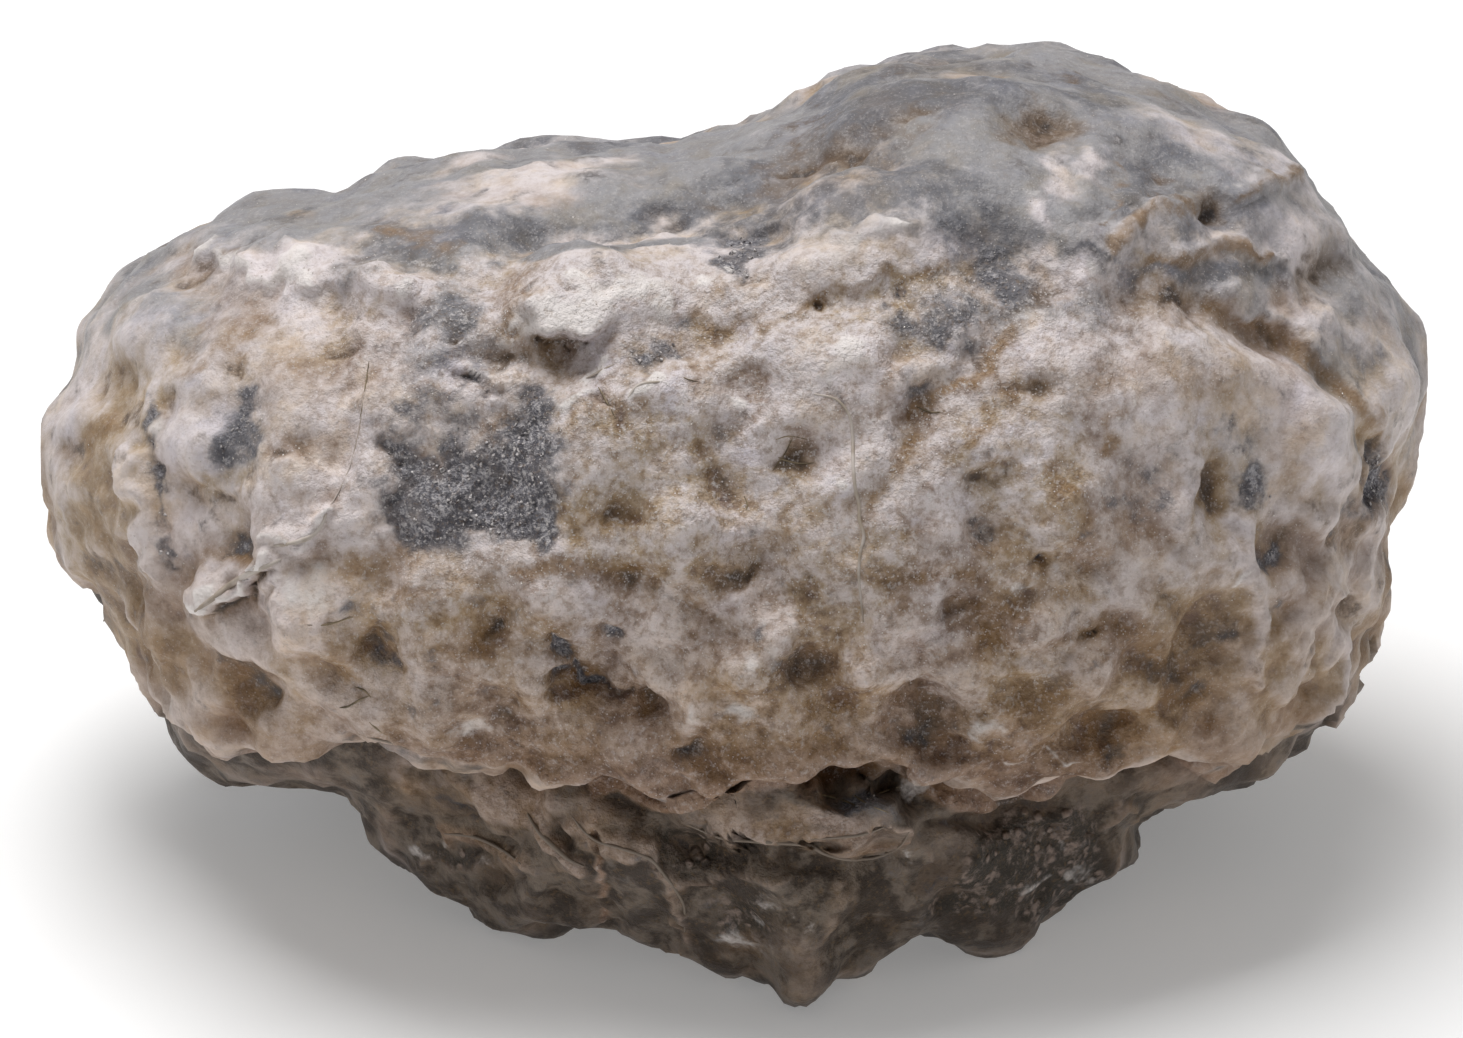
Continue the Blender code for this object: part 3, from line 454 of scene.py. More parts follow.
# %% Ochre stains
OCHRE_BLOTS = [
    (-10.8, -1.4, 0.8, 0.42, -5, 1), (-12.4, 0.6, 0.5, 0.3, 0, 0.6), (-13.9, -1.1, 0.5, 0.35, 0, 0.8),
    (-13.3, -1.75, 0.4, 0.2, 20, 0.8), (-16.6, -4.3, 0.4, 0.9, 15, 0.7),
    (-17.2, -1.6, 0.35, 1.6, 8, 0.6), (-11.3, -4.0, 0.6, 0.4, 0, 0.8), (-4.3, 3.2, 0.4, 0.6, 10, 0.5),
    (-5.0, -2.9, 1.0, 0.35, 10, 0.8), (-7.4, -3.7, 0.7, 0.4, 0, 0.8), (-3.2, -6.7, 0.9, 0.3, 10, 0.7),
    (-4.8, -7.5, 0.6, 0.25, 0, 0.9), (3.1, 0.2, 0.5, 0.4, 0, 0.6), (3.0, -4.5, 0.7, 0.45, 0, 0.5),
    (5.3, -0.4, 0.6, 0.35, 0, 0.7), (6.9, -2.8, 0.8, 0.4, 20, 0.7), (7.5, -3.5, 0.7, 0.35, 0, 0.7),
    (8.0, -2.3, 0.5, 0.3, 0, 0.6), (11.0, -3.2, 0.8, 0.5, 0, 0.9), (12.2, -3.7, 0.6, 0.45, 0, 0.9),
    (13.6, -5.8, 0.3, 0.2, 0, 1), (16.0, -3.6, 0.7, 0.7, 0, 0.6), (10.6, 4.2, 0.4, 0.8, 0, 0.6),
    (13.4, 4.2, 0.6, 0.5, 0, 0.6), (14.7, 0.1, 0.4, 0.5, 0, 0.7), (-14.1, 5.1, 0.7, 0.3, 10, 0.7),
    (-15.5, 4.6, 0.7, 0.3, 30, 0.7), (-10.4, 7.4, 0.6, 0.3, 0, 0.5), (-14.2, 7.6, 0.8, 0.3, 0, 0.6),
    (-5.0, 7.7, 0.6, 0.2, 10, 0.6), (3.3, 7.7, 0.7, 0.25, 10, 0.5), (16.0, 9.9, 0.9, 0.25, 8, 0.7),
    (-7.7, -6.6, 0.7, 0.35, 0, 0.6), (-0.9, -7.2, 0.8, 0.3, 0, 0.6), (7.9, -6.9, 0.8, 0.25, 0, 0.5),
    (-9.0, -3.6, 0.7, 0.5, 20, 0.6), (9.3, -5.2, 0.7, 0.5, 0, 0.7), (16.6, -1.9, 0.7, 0.5, -30, 0.7),
    (14.7, -4.8, 0.5, 0.6, 0, 0.6), (4.6, -2.8, 0.5, 0.5, 0, 0.5), (-6.3, -7.2, 0.8, 0.25, -10, 0.6),
    (10.0, -0.9, 0.8, 0.4, 0, 0.6), (8.2, 0.4, 0.5, 0.4, 0, 0.5), (-2.0, 2.2, 0.8, 0.5, 0, 0.5),
    (0.7, 5.9, 1.0, 0.3, 12, 0.5), (-9.3, -2.1, 0.45, 0.6, 0, 0.7), (-7.7, -3.4, 0.4, 0.9, 0, 0.6),
    (-18.3, 2.6, 0.7, 0.25, 25, 0.8), (-17.2, -2.5, 0.25, 0.9, 12, 0.8),
    (-14.0, -1.0, 0.6, 0.2, 5, 0.9), (-5.3, -3.3, 0.5, 0.3, 0, 0.6),
]
OCHRE_STREAKS = [
    ([(-0.9, 5.4), (0.0, 5.5), (1.0, 5.75), (2.0, 6.2), (3.0, 6.5), (4.0, 6.8), (5.0, 6.95),
        (6.0, 7.2)], 0.16, 0.8),
    ([(4.2, 3.6), (4.7, 4.1)], 0.25, 0.8),
    ([(5.2, 2.8), (6.0, 3.6), (7.0, 4.3), (7.5, 4.9), (8.1, 5.4)], 0.26, 1),
    ([(3.9, 0.6), (4.5, 1.3), (5.0, 2.3)], 0.22, 0.9), ([(6.6, 2.2), (7.2, 2.7)], 0.28, 1),
    ([(10.9, 3.0), (10.6, 1.8)], 0.22, 1), ([(9.2, 1.6), (9.3, 0.6)], 0.22, 0.8),
    ([(12.1, 7.5), (13.5, 7.75), (15.3, 7.7)], 0.2, 1),
    ([(11.1, 8.1), (12.2, 8.7), (13.2, 9.0)], 0.2, 1),
    ([(14.4, 9.3), (15.4, 9.7), (16.6, 9.95)], 0.18, 0.9),
    ([(10.2, 8.2), (10.9, 9.0), (11.0, 10.4)], 0.12, 0.6),
    ([(13.5, 6.1), (15.0, 5.55), (16.2, 4.9), (17.2, 4.2), (17.9, 3.3), (18.4, 2.4)], 0.24, 1),
    ([(18.5, 1.6), (18.2, 0.9), (18.4, 0.0), (17.8, -0.5)], 0.3, 0.8),
    ([(-5.8, -1.4), (-4.6, -1.2), (-3.4, -1.35), (-2.3, -1.3)], 0.26, 1),
    ([(5.3, -1.7), (6.2, -1.5), (7.0, -1.6)], 0.25, 0.9),
    ([(-10.0, 8.1), (-9.0, 8.2), (-8.0, 7.9)], 0.25, 0.7),
    ([(1.0, -9.1), (2.5, -9.1), (3.8, -9.0)], 0.15, 0.7),
]
ochre = np.maximum(blots(OCHRE_BLOTS, 0.0, 2.2), streaks(OCHRE_STREAKS, 0.0, 2.2))
print("Ochre marks:", len(OCHRE_BLOTS) + len(OCHRE_STREAKS))

# %% Cream and white crystal
WHITE_BLOTS = [
    (-4.3, 5.9, 1.3, 0.5, 5, 0.8), (-12.2, -1.8, 1.0, 0.6, 30, 0.7), (8.6, -10.5, 0.6, 0.35, 20, 0.5),
    (9.9, -9.9, 0.6, 0.35, 30, 0.5), (10.2, -10.6, 0.4, 0.25, 20, 0.5), (9.2, -9.5, 0.3, 0.2, 0, 0.5),
    (0.8, -10.7, 0.35, 0.4, 0, 0.5), (1.6, -11.2, 0.3, 0.4, 0, 0.6), (2.2, -12.3, 0.2, 0.3, 0, 0.5),
    (-4.2, 6.5, 1.5, 0.75, 10, 0.8), (-5.1, 5.7, 0.8, 0.4, -5, 0.75), (-4.5, 6.3, 0.4, 0.25, 0, 1),
    (-3.8, 6.1, 0.3, 0.25, 0, 1), (-4.4, 7.3, 0.4, 0.2, 0, 0.9), (-2.6, 6.7, 0.9, 0.6, 0, 0.75),
    (-3.6, 6.6, 1.0, 0.4, 0, 0.7), (-5.2, 6.2, 0.6, 0.4, 0, 0.6), (-2.0, 6.2, 0.25, 0.3, 0, 1),
    (-0.9, 6.7, 0.16, 0.4, -35, 1), (0.0, 7.3, 0.2, 0.12, 0, 1), (2.2, 7.3, 1.4, 0.5, 10, 0.5),
    (4.5, 8.25, 0.4, 0.12, 8, 1), (3.5, 8.0, 1.2, 0.25, 10, 0.6), (-8.9, 1.6, 0.3, 0.2, 0, 0.5),
    (-7.2, 4.1, 0.25, 0.2, 0, 0.8), (-6.4, 5.4, 0.35, 0.12, 20, 0.7), (-12.7, 7.3, 0.8, 0.35, 10, 0.75),
    (-9.3, 6.5, 0.6, 0.35, 20, 0.8), (-14.2, 8.5, 0.6, 0.3, 0, 0.5), (0.1, 3.4, 0.4, 0.2, 0, 1),
    (3.3, 4.8, 0.8, 0.55, 30, 0.95), (2.6, 4.2, 0.4, 0.3, 0, 0.6), (3.0, 0.9, 0.4, 0.45, 0, 0.8),
    (-1.3, -5.5, 0.35, 0.5, 0, 0.9), (0.2, -5.5, 0.5, 0.3, 0, 0.85), (0.7, -4.2, 0.4, 0.4, 0, 0.8),
    (0.9, -2.8, 0.35, 0.3, 0, 0.6), (7.0, -6.1, 0.5, 0.3, 0, 0.8), (7.6, -6.0, 0.4, 0.3, 0, 0.8),
    (-7.3, -5.9, 0.8, 0.4, 0, 0.75), (-5.0, -2.2, 0.8, 0.4, 0, 0.35), (7.8, -1.7, 0.3, 0.2, 0, 0.9),
    (8.3, -1.7, 0.2, 0.2, 0, 0.9), (11.2, 3.3, 0.12, 0.22, 0, 1), (14.5, -1.7, 0.25, 0.12, 0, 1),
    (14.4, -2.0, 0.2, 0.1, 0, 1), (15.4, -2.75, 0.3, 0.12, 0, 1), (8.7, 9.3, 0.35, 0.3, 0, 0.6),
    (9.2, 7.3, 0.3, 0.25, 0, 0.7), (10.4, 7.0, 0.4, 0.35, 0, 0.6), (13.0, 11.2, 1.0, 0.5, -10, 0.2),
    (14.3, 9.6, 0.6, 0.3, 0, 0.55), (-9.3, 0.1, 0.2, 0.16, 0, 0.6), (-9.3, 1.85, 0.2, 0.14, 0, 0.6),
    (-7.0, 1.85, 0.16, 0.12, 0, 0.6), (-7.3, -0.7, 0.2, 0.1, 0, 0.6), (-8.9, -9.6, 0.4, 0.25, 0, 0.6),
    (-8.4, -9.1, 0.25, 0.2, 0, 0.6), (-7.0, -9.9, 0.3, 0.2, 0, 0.6), (1.0, -11.2, 0.3, 0.25, 0, 0.7),
    (1.4, -11.8, 0.35, 0.25, 0, 0.7), (2.2, -11.7, 0.25, 0.2, 0, 0.6), (0.0, -11.8, 0.2, 0.2, 0, 0.5),
    (8.5, -10.5, 0.4, 0.2, 20, 0.6), (9.7, -10.3, 0.4, 0.2, 20, 0.6), (8.0, -8.9, 0.2, 0.15, 0, 0.5),
    (-2.35, -4.8, 0.14, 0.1, 0, 0.9), (5.3, -7.7, 0.2, 0.2, 0, 0.9), (-11.7, -0.3, 0.25, 0.25, 40, 0.8),
    (2.2, -2.4, 0.3, 0.2, 0, 0.4), (-16.6, 2.7, 0.3, 0.4, 0, 0.5), (-4.4, 5.7, 1.1, 0.3, 5, 0.8),
    (-4.6, 6.3, 1.1, 0.4, 5, 0.7), (-5.9, 5.5, 0.5, 0.3, 0, 0.6), (-11.9, -2.3, 0.7, 0.5, 0, 0.6),
    (17.2, 2.8, 0.5, 0.4, 0, 0.4), (10.0, 2.0, 0.4, 0.3, 0, 0.3), (0.3, -12.0, 0.8, 0.4, 0, 0.7),
    (3.1, -4.3, 0.4, 0.3, 0, 0.3), (-2.4, 5.7, 0.8, 0.4, 0, 0.4), (-3.3, 5.6, 0.6, 0.4, 0, 0.5),
]
WHITE_STREAKS = [
    ([(-3.0, 3.5), (-2.7, 3.95), (-2.1, 3.9)], 0.14, 1), ([(-1.7, 3.2), (-1.3, 3.7)], 0.13, 0.8),
    ([(-3.5, 4.5), (-4.1, 4.15), (-4.5, 3.7), (-4.6, 3.3)], 0.14, 0.85),
    ([(-14.9, 7.7), (-14.3, 7.2), (-13.2, 7.0), (-12.0, 7.1)], 0.2, 0.8),
    ([(-15.3, -2.5), (-14.4, -1.85), (-13.5, -1.45), (-12.9, -1.2)], 0.14, 0.9),
    ([(-13.2, -0.7), (-12.4, -0.65), (-11.8, -0.35), (-11.6, 0.1)], 0.14, 0.8),
    ([(-8.1, 5.4), (-7.8, 5.1)], 0.1, 0.9), ([(5.0, -9.5), (5.3, -9.95)], 0.1, 0.7),
    ([(7.6, -7.0), (8.6, -6.9), (10.0, -6.8)], 0.07, 0.6),
]
white = np.maximum(blots(WHITE_BLOTS, 0.0, 1.6), streaks(WHITE_STREAKS))
print("Pale marks:", len(WHITE_BLOTS) + len(WHITE_STREAKS))

# %% [markdown]
# ### Brown and clear places
# Under the small marks the film itself varies: it is brown and thin in some places, thick and clear
# in others. The brown places are also partly painted shade, and the clear places partly painted
# light, which lifts places where the relief throws shade. These marks have no core, so that they
# fade away without an edge.

# %% Brown and clear film
UMBER_BLOTS = [
    (-4.0, -5.0, 1.9, 0.7, -22, 0.6), (-10.3, -3.6, 0.9, 0.5, -20, 0.8), (13.5, -3.1, 1.1, 0.9, 0, 1),
    (11.7, 0.9, 1.1, 1.0, 0, 0.8), (4.2, 11.9, 0.9, 0.6, 20, 0.7), (3.2, 10.1, 1.6, 0.6, 20, 0.9),
    (6.2, 12.2, 0.8, 0.5, 10, 0.5), (16.0, 4.0, 1.0, 0.7, -40, 0.5), (-18.1, -0.2, 0.7, 0.9, 0, 0.8),
    (-18.0, 2.0, 0.7, 0.9, 0, 0.6), (12.0, -0.2, 0.9, 0.8, 0, 0.7), (18.2, 0.7, 0.6, 1.5, 0, 1),
    (-16.1, -4.0, 0.9, 1.0, 0, 1), (-4.2, -6.0, 1.0, 0.6, 0, 0.7), (8.4, -6.3, 1.0, 0.6, 0, 0.9),
    (13.8, -6.1, 1.0, 0.7, 15, 1), (-8.0, -6.0, 1.0, 0.5, 0, 0.3), (12.6, -4.6, 0.9, 0.55, -40, 0.9),
    (5.5, -5.7, 0.9, 0.65, 0, 0.9), (6.9, -5.2, 0.9, 0.5, 0, 0.6), (10.7, -6.0, 0.9, 0.45, 0, 0.9),
    (8.8, -5.3, 1.1, 0.5, 0, 0.6), (-13.9, -4.8, 0.7, 0.5, -30, 0.9), (-12.0, -4.1, 0.9, 0.5, 0, 0.5),
    (-18.7, 1.0, 0.7, 1.8, 0, 0.6), (-18.0, -1.8, 0.7, 1.1, 0, 0.8), (-16.8, -4.3, 0.7, 1.3, 15, 0.8),
    (-7.0, -3.8, 1.2, 0.5, 0, 0.6), (-7.8, -5.6, 1.6, 0.5, 0, 0.5), (2.1, -3.9, 0.9, 0.5, 10, 0.3),
    (7.4, -0.8, 1.5, 0.5, -10, 0.5), (10.6, -0.8, 0.9, 0.7, 0, 0.7), (7.2, -2.4, 1.0, 0.5, -35, 0.7),
    (4.3, -1.6, 1.5, 0.3, -8, 0.7), (9.3, -3.3, 0.9, 0.4, 0, 0.5), (11.3, -3.2, 0.9, 0.55, 0, 0.8),
    (15.9, -1.0, 1.1, 0.7, 0, 0.7), (14.8, -4.9, 0.7, 0.8, 0, 0.6), (3.8, -6.4, 1.7, 0.45, 0, 0.3),
    (0.0, -6.9, 3.2, 0.45, 0, 0.7), (-5.5, -6.7, 2.4, 0.45, -5, 0.6), (8.0, -7.0, 2.2, 0.35, 0, 0.6),
    (-0.1, -1.4, 0.8, 0.35, 0, 0.7), (-3.1, -1.7, 0.8, 0.35, 0, 0.6), (3.1, -5.3, 1.3, 0.4, 0, 0.5),
    (-8.8, -2.3, 0.8, 0.35, 0, 0.5), (-3.1, 2.9, 0.9, 0.9, 0, 0.45), (-0.3, 1.4, 0.5, 0.8, 15, 0.6),
    (1.7, 1.9, 0.9, 0.6, 0, 0.6), (13.7, 1.0, 0.5, 0.9, 20, 0.6), (-12.7, 1.9, 0.6, 0.35, 0, 0.5),
    (-11.0, 5.5, 0.9, 0.5, 0, 0.4), (-15.5, 7.0, 0.8, 0.5, 0, 0.5), (-17.9, 4.2, 0.8, 0.4, 40, 0.6),
    (-3.6, -0.1, 0.8, 0.3, 0, 0.5), (2.6, 10.4, 1.3, 0.32, 20, 0.9), (4.8, 11.5, 0.6, 0.3, 20, 0.7),
    (9.0, 11.3, 0.8, 0.35, 0, 0.9), (-15.2, -6.6, 1.0, 0.5, -30, 0.7), (16.2, -5.6, 1.2, 0.4, 35, 0.7),
    (0.8, -2.2, 0.4, 0.8, 0, 0.3), (11.0, 1.7, 0.5, 0.7, 0, 0.4), (5.3, 3.2, 0.7, 0.4, 45, 0.5),
    (8.4, 3.6, 0.6, 0.4, 0, 0.4), (16.8, -2.6, 0.5, 1.0, 0, 0.5), (-12.2, 4.1, 1.3, 1.0, 0, 0.9),
    (-10.0, 4.0, 1.0, 0.8, 0, 0.6), (8.3, 3.9, 1.2, 0.9, 0, 0.8), (12.2, 4.3, 1.3, 0.9, 0, 0.8),
    (10.2, 3.8, 0.7, 1.0, 0, 0.5), (14.2, 3.9, 1.0, 0.7, 0, 0.6), (6.2, 2.2, 1.0, 0.8, 40, 0.4),
    (1.8, -0.3, 0.9, 0.6, 0, 0.5), (4.2, -0.2, 0.9, 0.7, 0, 0.4), (10.0, 0.0, 1.0, 0.8, 0, 0.9),
    (-16.2, -2.3, 1.0, 1.0, 0, 1), (8.2, -2.0, 1.0, 0.7, 0, 1), (6.0, -4.1, 0.9, 0.6, 0, 0.4),
    (8.0, -6.6, 1.2, 0.4, 0, 0.5), (-14.0, -5.9, 1.0, 0.5, 0, 0.8), (-14.0, 6.0, 1.0, 0.8, 0, 1),
    (-6.1, 6.0, 0.6, 0.9, 0, 1), (8.0, -7.7, 1.2, 0.4, 0, 0.8), (10.5, -7.4, 1.2, 0.35, 10, 0.7),
    (-17.3, -2.1, 0.35, 1.2, 8, 0.6),
]
CLEAR_AND_PAINTED_LIGHT_BLOTS = [
    (3.5, 4.5, 1.2, 0.8, 25, 1), (2.8, 1.2, 0.7, 1.2, 0, 0.9), (0.6, 0.4, 1.2, 0.9, 0, 0.7),
    (-1.8, 3.6, 0.8, 0.6, 0, 0.8), (-12.8, 7.3, 1.4, 0.6, 10, 1), (-9.5, 6.6, 1.0, 0.5, 10, 0.9),
    (-11.8, -2.5, 0.9, 0.9, 0, 0.9), (-11.4, 2.8, 1.2, 2.2, 0, 0.6), (-14.2, 0.2, 0.8, 0.6, 0, 0.5),
    (-5.0, -2.3, 1.3, 0.5, 0, 0.9), (0.4, -2.4, 0.9, 0.6, 0, 0.5), (-1.4, -5.2, 0.5, 0.6, 0, 1),
    (0.8, -5.4, 0.9, 0.5, 0, 0.9), (5.3, -3.4, 0.9, 0.6, 0, 0.8), (8.0, -6.1, 0.9, 0.4, 0, 0.9),
    (9.6, 5.0, 1.8, 0.7, 0, 0.6), (12.0, 3.4, 1.4, 0.7, 0, 0.7), (16.0, 3.4, 1.0, 0.8, -40, 0.9),
    (16.9, 1.6, 0.6, 0.9, 0, 0.7), (9.3, 9.8, 0.45, 0.8, 0, 1), (10.3, 10.1, 0.45, 0.5, 0, 0.9),
    (8.7, 8.8, 0.35, 0.35, 0, 0.9), (8.9, 7.6, 0.35, 0.5, 0, 0.9), (9.9, 7.0, 0.5, 0.4, 0, 0.9),
    (13.2, 11.3, 1.2, 0.6, -15, 0.4), (-8.6, 8.4, 2.0, 0.35, 10, 0.4), (2.4, -0.2, 0.9, 0.5, 0, 0.6),
    (9.0, 1.9, 1.2, 0.6, 0, 0.5), (10.3, -4.4, 0.8, 0.5, 0, 0.6), (-2.4, -2.9, 0.9, 0.5, 0, 0.5),
    (-8.9, -4.6, 1.2, 0.5, 0, 0.5), (-16.2, 1.6, 0.7, 1.0, 0, 0.5), (18.0, 5.6, 0.7, 0.8, 0, 0.5),
    (-12.4, -5.4, 1.2, 0.4, 0, 0.6), (14.9, -3.2, 0.4, 1.0, 0, 0.6), (17.6, -3.7, 0.3, 1.0, 0, 0.5),
    (4.6, 0.3, 0.6, 0.5, 0, 0.5), (12.4, 0.9, 0.7, 1.0, 0, 0.5), (-1.5, -0.5, 1.0, 0.5, 0, 0.4),
    (12.0, 8.2, 1.1, 0.8, 0, 0.3), (14.2, 8.3, 1.2, 0.9, 0, 0.4), (16.2, 7.9, 1.0, 0.9, -40, 0.9),
    (16.3, 6.0, 1.1, 0.9, -40, 0.9), (-4.2, 6.0, 1.6, 0.8, 5, 1), (-12.0, 5.8, 1.2, 0.8, 0, 0.8),
    (-10.0, 5.9, 1.0, 0.6, 0, 0.4), (-18.2, 3.6, 0.8, 0.9, 0, 0.4), (-2.0, 1.8, 0.9, 0.7, 0, 0.4),
    (0.6, 2.3, 0.6, 0.8, 0, 0.5), (8.3, 2.1, 1.2, 0.9, 0, 0.9), (12.3, 2.5, 1.0, 0.7, 0, 0.8),
    (14.3, 2.9, 0.9, 0.5, 0, 0.4), (-16.0, 0.0, 0.9, 0.9, 0, 1), (-10.3, 0.1, 0.8, 0.9, 0, 1),
    (0.0, 0.1, 1.0, 0.8, 0, 1), (6.1, 0.2, 0.9, 0.8, 0, 1), (8.2, 0.1, 0.9, 0.7, 0, 0.9),
    (-12.0, -2.0, 1.1, 1.0, 0, 1), (0.1, -2.1, 1.0, 0.8, 0, 1), (-2.3, -2.3, 0.9, 0.5, 0, 0.7),
    (-4.2, -1.9, 1.0, 0.7, 0, 0.8), (-8.0, 4.0, 0.9, 0.8, 0, 0.9), (0.0, 2.0, 0.9, 0.8, 0, 0.7),
    (2.2, 2.2, 0.9, 0.8, 0, 0.6), (4.1, -6.2, 0.9, 0.6, 0, 1), (2.2, -4.0, 0.9, 0.7, 0, 0.9),
    (-12.3, -3.8, 0.9, 0.8, 0, 0.7), (4.0, -4.0, 1.0, 0.8, 0, 0.9), (14.6, -3.9, 0.7, 1.0, 0, 0.9),
    (12.1, -3.6, 0.9, 0.5, 0, 0.3), (4.0, -6.0, 0.9, 0.7, 0, 0.8), (14.4, 10.2, 1.2, 0.5, -20, 0.3),
    (6.0, 7.7, 1.0, 0.5, 10, 0.8), (14.2, 8.0, 1.2, 0.7, 0, 0.4), (-6.1, 2.0, 0.9, 0.8, 0, 1),
    (8.2, 2.0, 1.0, 0.8, 0, 1), (-4.0, 4.2, 1.0, 0.9, 0, 1), (4.2, 4.0, 1.0, 0.9, 0, 1),
    (12.3, 2.0, 0.9, 0.8, 0, 0.8), (-10.2, -1.9, 0.9, 0.7, 0, 0.9), (-7.6, 4.4, 0.8, 0.5, 0, 0.6),
    (-5.8, 4.0, 0.8, 0.6, 0, 0.6), (-0.3, -2.0, 0.9, 0.8, 0, 0.4), (8.2, 2.2, 0.9, 0.8, 0, 0.5),
    (6.2, 0.0, 0.9, 0.8, 0, 0.5), (-12.2, 0.0, 0.9, 0.8, 0, 0.9), (4.2, -4.0, 1.0, 0.9, 0, 1),
    (-1.8, 5.8, 0.9, 0.5, 0, 0.6), (4.2, -8.0, 0.8, 0.6, 0, 0.5), (-13.2, -3.5, 0.9, 0.7, 0, 0.8),
    (-12.2, -2.8, 1.1, 0.8, 0, 0.8), (14.5, -4.0, 0.9, 0.8, 0, 0.5), (4.0, -4.2, 0.9, 0.6, 0, 0.5),
]
# Umber is partly painted shade and the clear places partly painted light: they darken and lift the film
# where shade and light fall, as well as marking thin and thick film.
umber = blots(UMBER_BLOTS, 0.0, 1.7)
clear_and_painted_light = blots(CLEAR_AND_PAINTED_LIGHT_BLOTS, 0.0, 1.6)
print("Film marks:", len(UMBER_BLOTS), "brown and", len(CLEAR_AND_PAINTED_LIGHT_BLOTS), "clear_and_painted_light")

# %% [markdown]
# ### Ridges and smooth places
# The film has dried in folds. On the right of the hump they fan out from one point, and lower down
# they hang like curtains. The brow is a plate that stayed smooth, so the knots have to fade there.

# %% Ridges and calm places
RIDGES = [
    ([(11.4, 8.25), (12.2, 8.85), (13.4, 9.4), (14.4, 9.4), (16.1, 9.9)], 0.24, 1),
    ([(12.4, 7.7), (13.6, 7.9), (14.8, 7.8), (15.7, 7.6)], 0.18, 0.8),
    ([(13.7, 6.45), (15.0, 5.9), (16.1, 5.3), (17.3, 4.6), (18.1, 3.4), (18.6, 2.2)], 0.26, 0.9),
    ([(10.0, 8.0), (10.9, 8.7), (11.6, 9.6)], 0.2, 0.6),
    ([(9.6, 8.3), (9.9, 9.4), (10.4, 10.6)], 0.2, 0.6),
    ([(-14.9, 7.7), (-13.6, 7.2), (-12.0, 7.1)], 0.25, 0.8),
    ([(-13.0, 8.0), (-12.3, 7.3), (-9.3, 6.6)], 0.25, 0.8),
    ([(-17.2, 2.0), (-17.0, 0.6), (-16.7, -1.5)], 0.2, 0.8),
    ([(-13.2, -0.7), (-12.2, -0.6), (-11.6, 0.1)], 0.22, 1),
    ([(-15.3, -2.5), (-14.4, -1.85), (-13.5, -1.45), (-12.9, -1.2)], 0.22, 1),
    ([(14.3, 0.1), (14.7, -0.3), (14.8, -1.6), (15.1, -2.6), (15.0, -3.7), (14.8, -4.3)], 0.26, 1),
    ([(16.7, -1.8), (16.7, -2.6), (16.3, -3.7), (16.6, -4.5)], 0.24, 0.8),
    ([(17.8, -2.6), (17.6, -3.7), (17.4, -4.8), (17.0, -5.4)], 0.24, 0.8),
    ([(17.0, -2.0), (17.8, -2.05), (18.5, -2.3)], 0.22, 0.8),
    ([(13.2, 1.6), (12.6, 0.8), (12.6, -0.4)], 0.25, 0.5),
    ([(-0.9, 5.75), (1.5, 6.25), (3.6, 6.85), (6.0, 7.4)], 0.28, 0.4),
    ([(4.9, 3.9), (5.9, 4.5), (7.0, 5.5)], 0.24, 0.7),
    ([(2.9, 8.1), (3.8, 8.25), (5.0, 8.35)], 0.18, 0.8),
    ([(-2.4, 7.9), (0.4, 8.3), (2.6, 8.6)], 0.2, 0.5),
    ([(-10.3, 3.6), (-10.5, 1.5), (-11.2, -0.4)], 0.3, 0.5),
    ([(12.9, -6.2), (14.4, -5.5), (15.6, -5.2)], 0.3, 0.6),
]
CALM_BLOTS = [
    (-4.4, 5.9, 1.4, 0.7, 5, 1), (-12.0, -2.2, 1.0, 1.0, 0, 0.9), (1.5, -8.3, 2.6, 0.6, 0, 0.9),
    (1.0, 7.2, 4.8, 1.1, 11, 1), (2.5, 5.3, 3.6, 0.9, 14, 0.9), (-3.9, 6.6, 1.6, 0.9, 10, 0.4),
    (-7.2, 1.2, 2.6, 2.2, 0, 0.5), (2.6, 3.0, 1.2, 1.6, 0, 0.6), (9.5, 3.0, 2.4, 2.2, 30, 0.5),
    (-13.0, 3.6, 2.2, 1.8, 0, 0.5), (-2.0, 0.6, 1.6, 1.4, 0, 0.3), (8.0, 9.0, 5.0, 2.2, -10, 0.5),
]
ridges = streaks(RIDGES, 0.0, 2.0)
calm = blots(CALM_BLOTS, 0.3, 1.4)
print("Ridges:", len(RIDGES), " calm places:", len(CALM_BLOTS))
